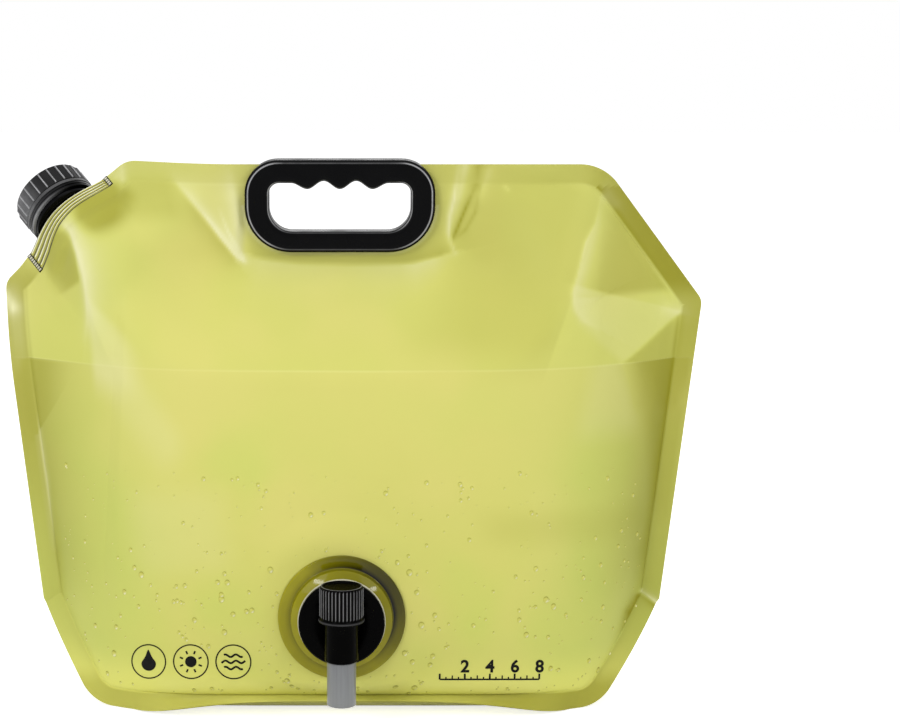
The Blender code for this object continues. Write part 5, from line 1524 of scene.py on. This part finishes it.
def build_knob():
    """Ribbed knob: straight fine ribs, a flared skirt and a dished top in a thin rim."""
    def rib(step, radius, height):
        if radius < KNOB_RADIUS - 0.0002:
            return 0.0
        out = run_out(height, 0.0074, 0.0008, 0.0236, 0.0010)
        return KNOB_PATTERN[step % len(KNOB_PATTERN)] * MM * out

    profile = [
        (0.0, 0.0181, 0.0), (0.0037, 0.0181, 0.0), (0.0037, 0.0081, 0.0), (0.0096, 0.0081, 0.0),
        (0.0096, 0.0063, 0.0), (0.0091, 0.0063, 0.0), (0.0091, 0.0051, 0.0003),
        (0.0120, 0.0051, 0.0004), (0.0120, 0.0060, 0.0003), (0.0113, 0.0067, 0.0004),
        (KNOB_RADIUS, 0.0076, 0.0), (KNOB_RADIUS, 0.0084, 0.0), (KNOB_RADIUS, 0.0226, 0.0),
        (KNOB_RADIUS, KNOB_TOP, 0.0007), (0.0097, KNOB_TOP, 0.0004), (0.0091, 0.0232, 0.0005),
        (0.0, 0.0230, 0.0),
    ]
    steps = KNOB_RIBS * len(KNOB_PATTERN)
    mesh = mesh_of("faucet_knob", *lathe(profile, steps, BARREL, rib), TAP_SMOOTH)
    # Painted highlights on the rib crests, the thin top rim and the skirt's edge
    rims = ((0.0100, 0.0106, 0.0240, 0.0250, 0.4), (0.0118, 0.0121, 0.0056, 0.0061, 0.12))
    paint(mesh, crest=crests(profile, steps, rib, max(KNOB_PATTERN) * MM, 0.6, 5, rims))
    piece("faucet_knob", outward(mesh), BLACK_GLOSS, "knob", ("tap_knob",))


build_port()
build_screw_base()
build_faucet()
build_knob()


# Prints and water beads lie on the front film
PRINT_TILT = math.radians(16.5)
PRINT_RISE = 0.00012
ICON_RADIUS = 0.0093
ICON_PLACES = ((-0.1086, 0.0346), (-0.0856, 0.0345), (-0.0628, 0.0344))
SCALE_LEFT = 0.047
SCALE_LENGTH = 0.1005 - SCALE_LEFT
SCALE_BASE = 0.0247
SCALE_TICKS = 16
FIGURES = "2468"
FIGURE_SIZE = 0.0094
FILM_TREE = BVHTree.FromPolygons(
    [vert.co.copy() for vert in film_front.data.vertices],
    [tuple(face.vertices) for face in film_front.data.polygons])


def on_film(x, z, rise, tilt=0.0):
    """The place on the front film behind (x, z), lifted off it, and its normal. A tilt looks
    down on the film, from above the point at the film's foot."""
    ahead = Vector((0.0, math.cos(tilt), -math.sin(tilt)))
    start = Vector((x, -0.3, z + (0.3 + TAP.y) * math.tan(tilt)))
    place, normal, _, _ = FILM_TREE.ray_cast(start, ahead)
    if place is None:
        return None, None
    if normal.y > 0.0:
        normal.negate()
    return place + normal * rise, normal


def circle(cx, cz, radius, steps):
    """Points of a circle in (x, z)."""
    angles = [2 * math.pi * step / steps for step in range(steps)]
    return [(cx + radius * math.cos(angle), cz + radius * math.sin(angle)) for angle in angles]


def strip_faces(pairs, closed=False):
    """Quads along a strip of so many pairs of points; closed joins its ends."""
    faces = []
    for step in range(pairs if closed else pairs - 1):
        first, second = 2 * step, 2 * ((step + 1) % pairs)
        faces.append((first, first + 1, second + 1, second))
    return faces


def ring_shape(cx, cz, radius, width, steps=96):
    """A flat ring of even width."""
    sides = [circle(cx, cz, reach, steps) for reach in (radius - width / 2, radius + width / 2)]
    points = [point for pair in zip(*sides) for point in pair]
    return points, strip_faces(steps, closed=True)


def band_shape(line, width):
    """A strip of even width along a line of (x, z)."""
    points = []
    for index, (x, z) in enumerate(line):
        before, after = line[max(index - 1, 0)], line[min(index + 1, len(line) - 1)]
        along = Vector((after[0] - before[0], after[1] - before[1])).normalized()
        points.append((x - along.y * width / 2, z + along.x * width / 2))
        points.append((x + along.y * width / 2, z - along.x * width / 2))
    return points, strip_faces(len(line))


def fan_shape(cx, cz, outline, rings=3):
    """A filled star-shaped outline round its centre."""
    count = len(outline)
    points = [(cx, cz)]
    for ring in range(1, rings + 1):
        share = ring / rings
        points += [(cx + (x - cx) * share, cz + (z - cz) * share) for x, z in outline]
    faces = [(0, 1 + index, 1 + (index + 1) % count) for index in range(count)]
    return points, faces + ring_faces(rings, count, start=1)


def drop_outline(cx, cz, radius, tip, steps=48):
    """A circle drawn up to a narrow tip."""
    outline = []
    for step in range(steps):
        angle = 2 * math.pi * step / steps
        lift = max(0.0, math.sin(angle)) ** 6 * (tip - radius)
        narrow = 1.0 - 0.45 * max(0.0, math.sin(angle)) ** 2
        across = radius * narrow * math.cos(angle)
        outline.append((cx + across, cz + radius * math.sin(angle) + lift))
    return outline


def sun_shapes(cx, cz, radius, rays=8):
    """A filled disc with short rays round it."""
    shapes = [fan_shape(cx, cz, circle(cx, cz, radius, 36))]
    for ray in range(rays):
        angle = 2 * math.pi * (ray + 0.5) / rays
        line = [(cx + reach * math.cos(angle), cz + reach * math.sin(angle))
                for reach in (radius * 1.45, radius * 1.75, radius * 2.05)]
        shapes.append(band_shape(line, radius * 0.3))
    return shapes


def wave_shapes(cx, cz, width, pitch, steps=32):
    """Three wavy lines above each other, the middle one longer."""
    shapes = []
    for level in (-1, 0, 1):
        line = []
        half = width / 2 * (1.0 if level == 0 else 0.78)
        for step in range(steps + 1):
            x = -half + 2 * half * step / steps
            line.append((cx + x, cz + level * pitch + 0.0007 * math.sin(2 * math.pi * x / 0.0056)))
        shapes.append(band_shape(line, 0.0011))
    return shapes


def digit_shape(text, cx, cz, size):
    """Filled outline of one figure in Blender's own typeface, as flat points and faces."""
    curve = bpy.data.curves.new("figure_" + text, "FONT")
    curve.body = text
    curve.size = size
    curve.align_x = "CENTER"
    curve.offset = size * 0.03
    drawn = linked("figure_" + text, curve)
    graph = bpy.context.evaluated_depsgraph_get()
    mesh = bpy.data.meshes.new_from_object(drawn.evaluated_get(graph))
    points = [(cx + vert.co.x, cz + vert.co.y) for vert in mesh.vertices]
    faces = [tuple(face.vertices) for face in mesh.polygons]
    bpy.data.objects.remove(drawn)
    bpy.data.meshes.remove(mesh)
    return points, faces


def scale_shapes():
    """A graduated line with long, middle and short ticks, and the figures over it."""
    base = [(SCALE_LEFT + SCALE_LENGTH * step / 40, SCALE_BASE) for step in range(41)]
    shapes = [band_shape(base, 0.0009)]
    for number in range(SCALE_TICKS + 1):
        x = SCALE_LEFT + SCALE_LENGTH * number / SCALE_TICKS
        tall, width = 0.0014, 0.0007
        if number % 4 == 0:
            tall, width = 0.0032, 0.0010
        elif number % 2 == 0:
            tall = 0.0022
        tick = [(x, SCALE_BASE), (x, SCALE_BASE + tall / 2), (x, SCALE_BASE + tall)]
        shapes.append(band_shape(tick, width))
    for number, text in enumerate(FIGURES, start=1):
        x = SCALE_LEFT + SCALE_LENGTH * number / len(FIGURES)
        shapes.append(digit_shape(text, x, SCALE_BASE + 0.0041, FIGURE_SIZE))
    return shapes


def build_prints():
    """Three small ring marks with plain motifs, and a graduated scale with figures."""
    drop, sun, waves = ICON_PLACES
    shapes = [ring_shape(*place, ICON_RADIUS, 0.0007) for place in ICON_PLACES]
    outline = drop_outline(drop[0], drop[1] - 0.0012, 0.0040, 0.0078)
    shapes.append(fan_shape(drop[0], drop[1] - 0.0010, outline))
    shapes += sun_shapes(*sun, 0.0031) + wave_shapes(*waves, 0.0128, 0.0034) + scale_shapes()
    points, faces = joined(*shapes)
    placed = [on_film(x, z, PRINT_RISE, PRINT_TILT)[0] for x, z in points]
    mesh = bpy.data.meshes.new("film_prints")
    mesh.from_pydata([tuple(place) for place in placed], [], faces)
    mesh.validate()
    mesh.shade_smooth()
    mesh = turned_over(mesh, lambda face: face.normal.y > 0.0)
    piece("film_prints", mesh, INK, "root")


BEADS = 430
BEAD_HALF_SPREAD = 0.158
BEAD_FREE_OF_PORT = 0.036
PRINTS_MIDDLE = 0.029
PRINTS_HALF_HEIGHT = 0.012
ICONS_SPAN = (-0.120, -0.051)
SCALE_SPAN = (0.044, 0.104)
BEAD_SEED = 8
BEAD_AROUND = 12
BEAD_SUNK = 0.00003
# For each ring of a bead, from its foot up: how much painted shade its upper side gets and how
# # much painted glint its lower side gets
BEAD_RINGS = ((1.0, 0.2), (0.8, 0.5), (0.3, 0.9), (0.0, 0.3))
BEAD_TURNS = 2 * np.pi * np.arange(BEAD_AROUND) / BEAD_AROUND


def bead(centre, normal, radius, height):
    """A low dome of water, a little longer downwards."""
    across = normal.cross(Vector((0.0, 0.0, 1.0))).normalized()
    up = across.cross(normal)
    points = []
    around, rings = BEAD_AROUND, len(BEAD_RINGS)
    for ring in range(rings):
        turn = math.pi / 2 * ring / rings
        reach, rise = radius * math.cos(turn), height * math.sin(turn)
        for step in range(around):
            angle = 2 * math.pi * step / around
            stretch = 1.25 if math.sin(angle) < 0.0 else 1.0
            sideways = across * (reach * math.cos(angle))
            points.append(centre + sideways + up * (reach * stretch * math.sin(angle))
                          + normal * rise)
    points.append(centre + normal * height)
    faces = ring_faces(rings, around, flip=True)
    top = rings * around
    last = top - around
    faces += [(last + step, last + (step + 1) % around, top) for step in range(around)]
    return points, faces


def bead_place_free(x, z):
    """Inside the wet part of the film and clear of the port and the prints."""
    edge = BEAD_HALF_SPREAD - max(0.0, 0.051 - z) * 0.75
    off_port = (x - TAP.x) ** 2 + (z - TAP.z) ** 2 >= BEAD_FREE_OF_PORT ** 2
    beside_prints = abs(z - PRINTS_MIDDLE) < PRINTS_HALF_HEIGHT
    on_prints = any(low < x < high for low, high in (ICONS_SPAN, SCALE_SPAN))
    return abs(x) <= edge and off_port and not (beside_prints and on_prints)


def build_beads():
    """Condensation below the water line, denser and larger towards the bottom."""
    seeded = random.Random(BEAD_SEED)
    parts = []
    while len(parts) < BEADS:
        x = seeded.uniform(-0.165, 0.160)
        z = 0.009 + 0.126 * seeded.random() ** 1.25
        if not bead_place_free(x, z):
            continue
        small = seeded.random() ** 2.4
        radius = (0.00042 + 0.00130 * small) * (1.0 if z < 0.086 else 0.75)
        place, normal = on_film(x, z, -BEAD_SUNK)
        if place is not None and place.z > 0.013:
            parts.append(bead(place, normal, radius, radius * 0.5))
    mesh = mesh_of("water_beads", *joined(*parts), math.radians(80.0))
    upper = np.clip(np.sin(BEAD_TURNS), 0.0, 1.0)
    lower = np.clip(-np.sin(BEAD_TURNS + 0.6), 0.0, 1.0) ** 3
    deep = np.concatenate([share * upper for share, _ in BEAD_RINGS] + [[0.0]])
    glint = np.concatenate([share * lower for _, share in BEAD_RINGS] + [[0.0]])
    paint(mesh, deep=np.tile(deep, len(parts)), glint=np.tile(glint, len(parts)))
    piece("water_beads", mesh, DROP, "root")


build_prints()
build_beads()


# CAD nodes that stay get their procedural finish
for node, finish in (
    ("shank_nut", BLACK), ("valve_core", VALVE), ("cap_liner", PALE), ("shank_oring", PALE),
    ("core_oring_upper", RUBBER), ("core_oring_lower", RUBBER),
):
    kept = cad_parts[node]
    for place in kept.material_slots:
        place.material = finish
    if not kept.material_slots:
        kept.data.materials.append(finish)


# Floor, lamps and camera
FLOOR_GLOW = 0.72
FLOOR_HALF = 4.0
AMBIENT = 0.5
WHITE = (1.0, 1.0, 1.0, 1.0)
LAMP_TARGET = Vector((0.0, 0.0, 0.14))
# Name, place, the two sides of its rectangle in metres, and watts
LAMPS = (
    ("softbox_left", (-0.95, -1.15, 0.95), (0.9, 0.9), 5.7),
    ("softbox_right", (0.95, -1.05, 1.0), (0.8, 0.9), 3.0),
    ("top_light", (0.0, -0.3, 1.5), (1.4, 1.0), 5.2),
    ("back_fill", (0.35, 1.45, 0.95), (1.2, 1.0), 5.0),
    ("glint_left", (-0.80, -1.32, 0.98), (0.34, 0.14), 3.0),
    ("glint_right", (1.05, -1.31, 0.72), (0.26, 0.13), 2.1),
)
CAMERA_ELEVATION = math.radians(11.5)
CAMERA_DISTANCE = 1.35
CAMERA_TARGET_HEIGHT = 0.141


def seen_share(made):
    """1 for the rays that show the background: to the camera, in gloss and through glass."""
    rays = made.add("ShaderNodeLightPath").outputs
    direct = made.math("MAXIMUM", rays["Is Camera Ray"], rays["Is Glossy Ray"])
    return made.math("MAXIMUM", direct, rays["Is Transmission Ray"])


def build_stage():
    """Pale floor: its own colour takes the shadow, and a glow lifts the rest to white."""
    material = bpy.data.materials.new("studio_white")
    material.use_nodes = True
    made = Nodes(material.node_tree)
    made.tree.nodes.clear()
    diffuse = made.fed("ShaderNodeBsdfDiffuse", 0, {"Color": (0.86, 0.86, 0.86, 1.0)})
    strength = made.math("MULTIPLY", seen_share(made), FLOOR_GLOW)
    glow = made.fed("ShaderNodeEmission", 0, {"Strength": strength})
    both = made.fed("ShaderNodeAddShader", 0, {0: diffuse, 1: glow})
    made.feed(made.add("ShaderNodeOutputMaterial").inputs["Surface"], both)
    corners = [(-FLOOR_HALF, -FLOOR_HALF, 0.0), (FLOOR_HALF, -FLOOR_HALF, 0.0),
               (FLOOR_HALF, FLOOR_HALF, 0.0), (-FLOOR_HALF, FLOOR_HALF, 0.0)]
    floor = linked("floor", mesh_of("floor", corners, [(0, 1, 2, 3)]))
    floor.data.materials.append(material)


def build_world():
    """White where it is seen, and a weaker light for the rays that only light the object."""
    world = bpy.data.worlds.new("studio")
    bpy.context.scene.world = world
    world.use_nodes = True
    made = Nodes(world.node_tree)
    made.tree.nodes.clear()
    ambient = made.fed("ShaderNodeBackground", 0, {"Color": WHITE, "Strength": AMBIENT})
    shown = made.fed("ShaderNodeBackground", 0, {"Color": WHITE})
    both = made.fed("ShaderNodeMixShader", 0, {0: seen_share(made), 1: ambient, 2: shown})
    made.feed(made.add("ShaderNodeOutputWorld").inputs["Surface"], both)


def build_lamps():
    """Soft rectangular lamps that look at the bag."""
    for name, place, size, power in LAMPS:
        data = bpy.data.lights.new(name, "AREA")
        data.shape = "RECTANGLE"
        data.size, data.size_y = size
        data.energy = power
        lamp = linked(name, data)
        lamp.location = place
        lamp.rotation_euler = (LAMP_TARGET - Vector(place)).to_track_quat("-Z", "Y").to_euler()


def build_camera():
    """The photograph's view: 11.5 degrees above the horizon at 1.35 m, with its framing."""
    data = bpy.data.cameras.new("photo_view")
    data.sensor_width = 36.0
    data.lens = 98.71
    data.shift_x = 0.1094
    data.shift_y = 0.0894
    data.clip_start = 0.05
    data.clip_end = 30.0
    camera = linked("photo_view", data)
    back = -CAMERA_DISTANCE * math.cos(CAMERA_ELEVATION)
    up = CAMERA_TARGET_HEIGHT + CAMERA_DISTANCE * math.sin(CAMERA_ELEVATION)
    camera.location = (0.0, back, up)
    camera.rotation_euler = (math.pi / 2 - CAMERA_ELEVATION, 0.0, 0.0)
    bpy.context.scene.camera = camera


build_stage()
build_world()
build_lamps()
build_camera()
bpy.context.scene.view_settings.view_transform = "Standard"
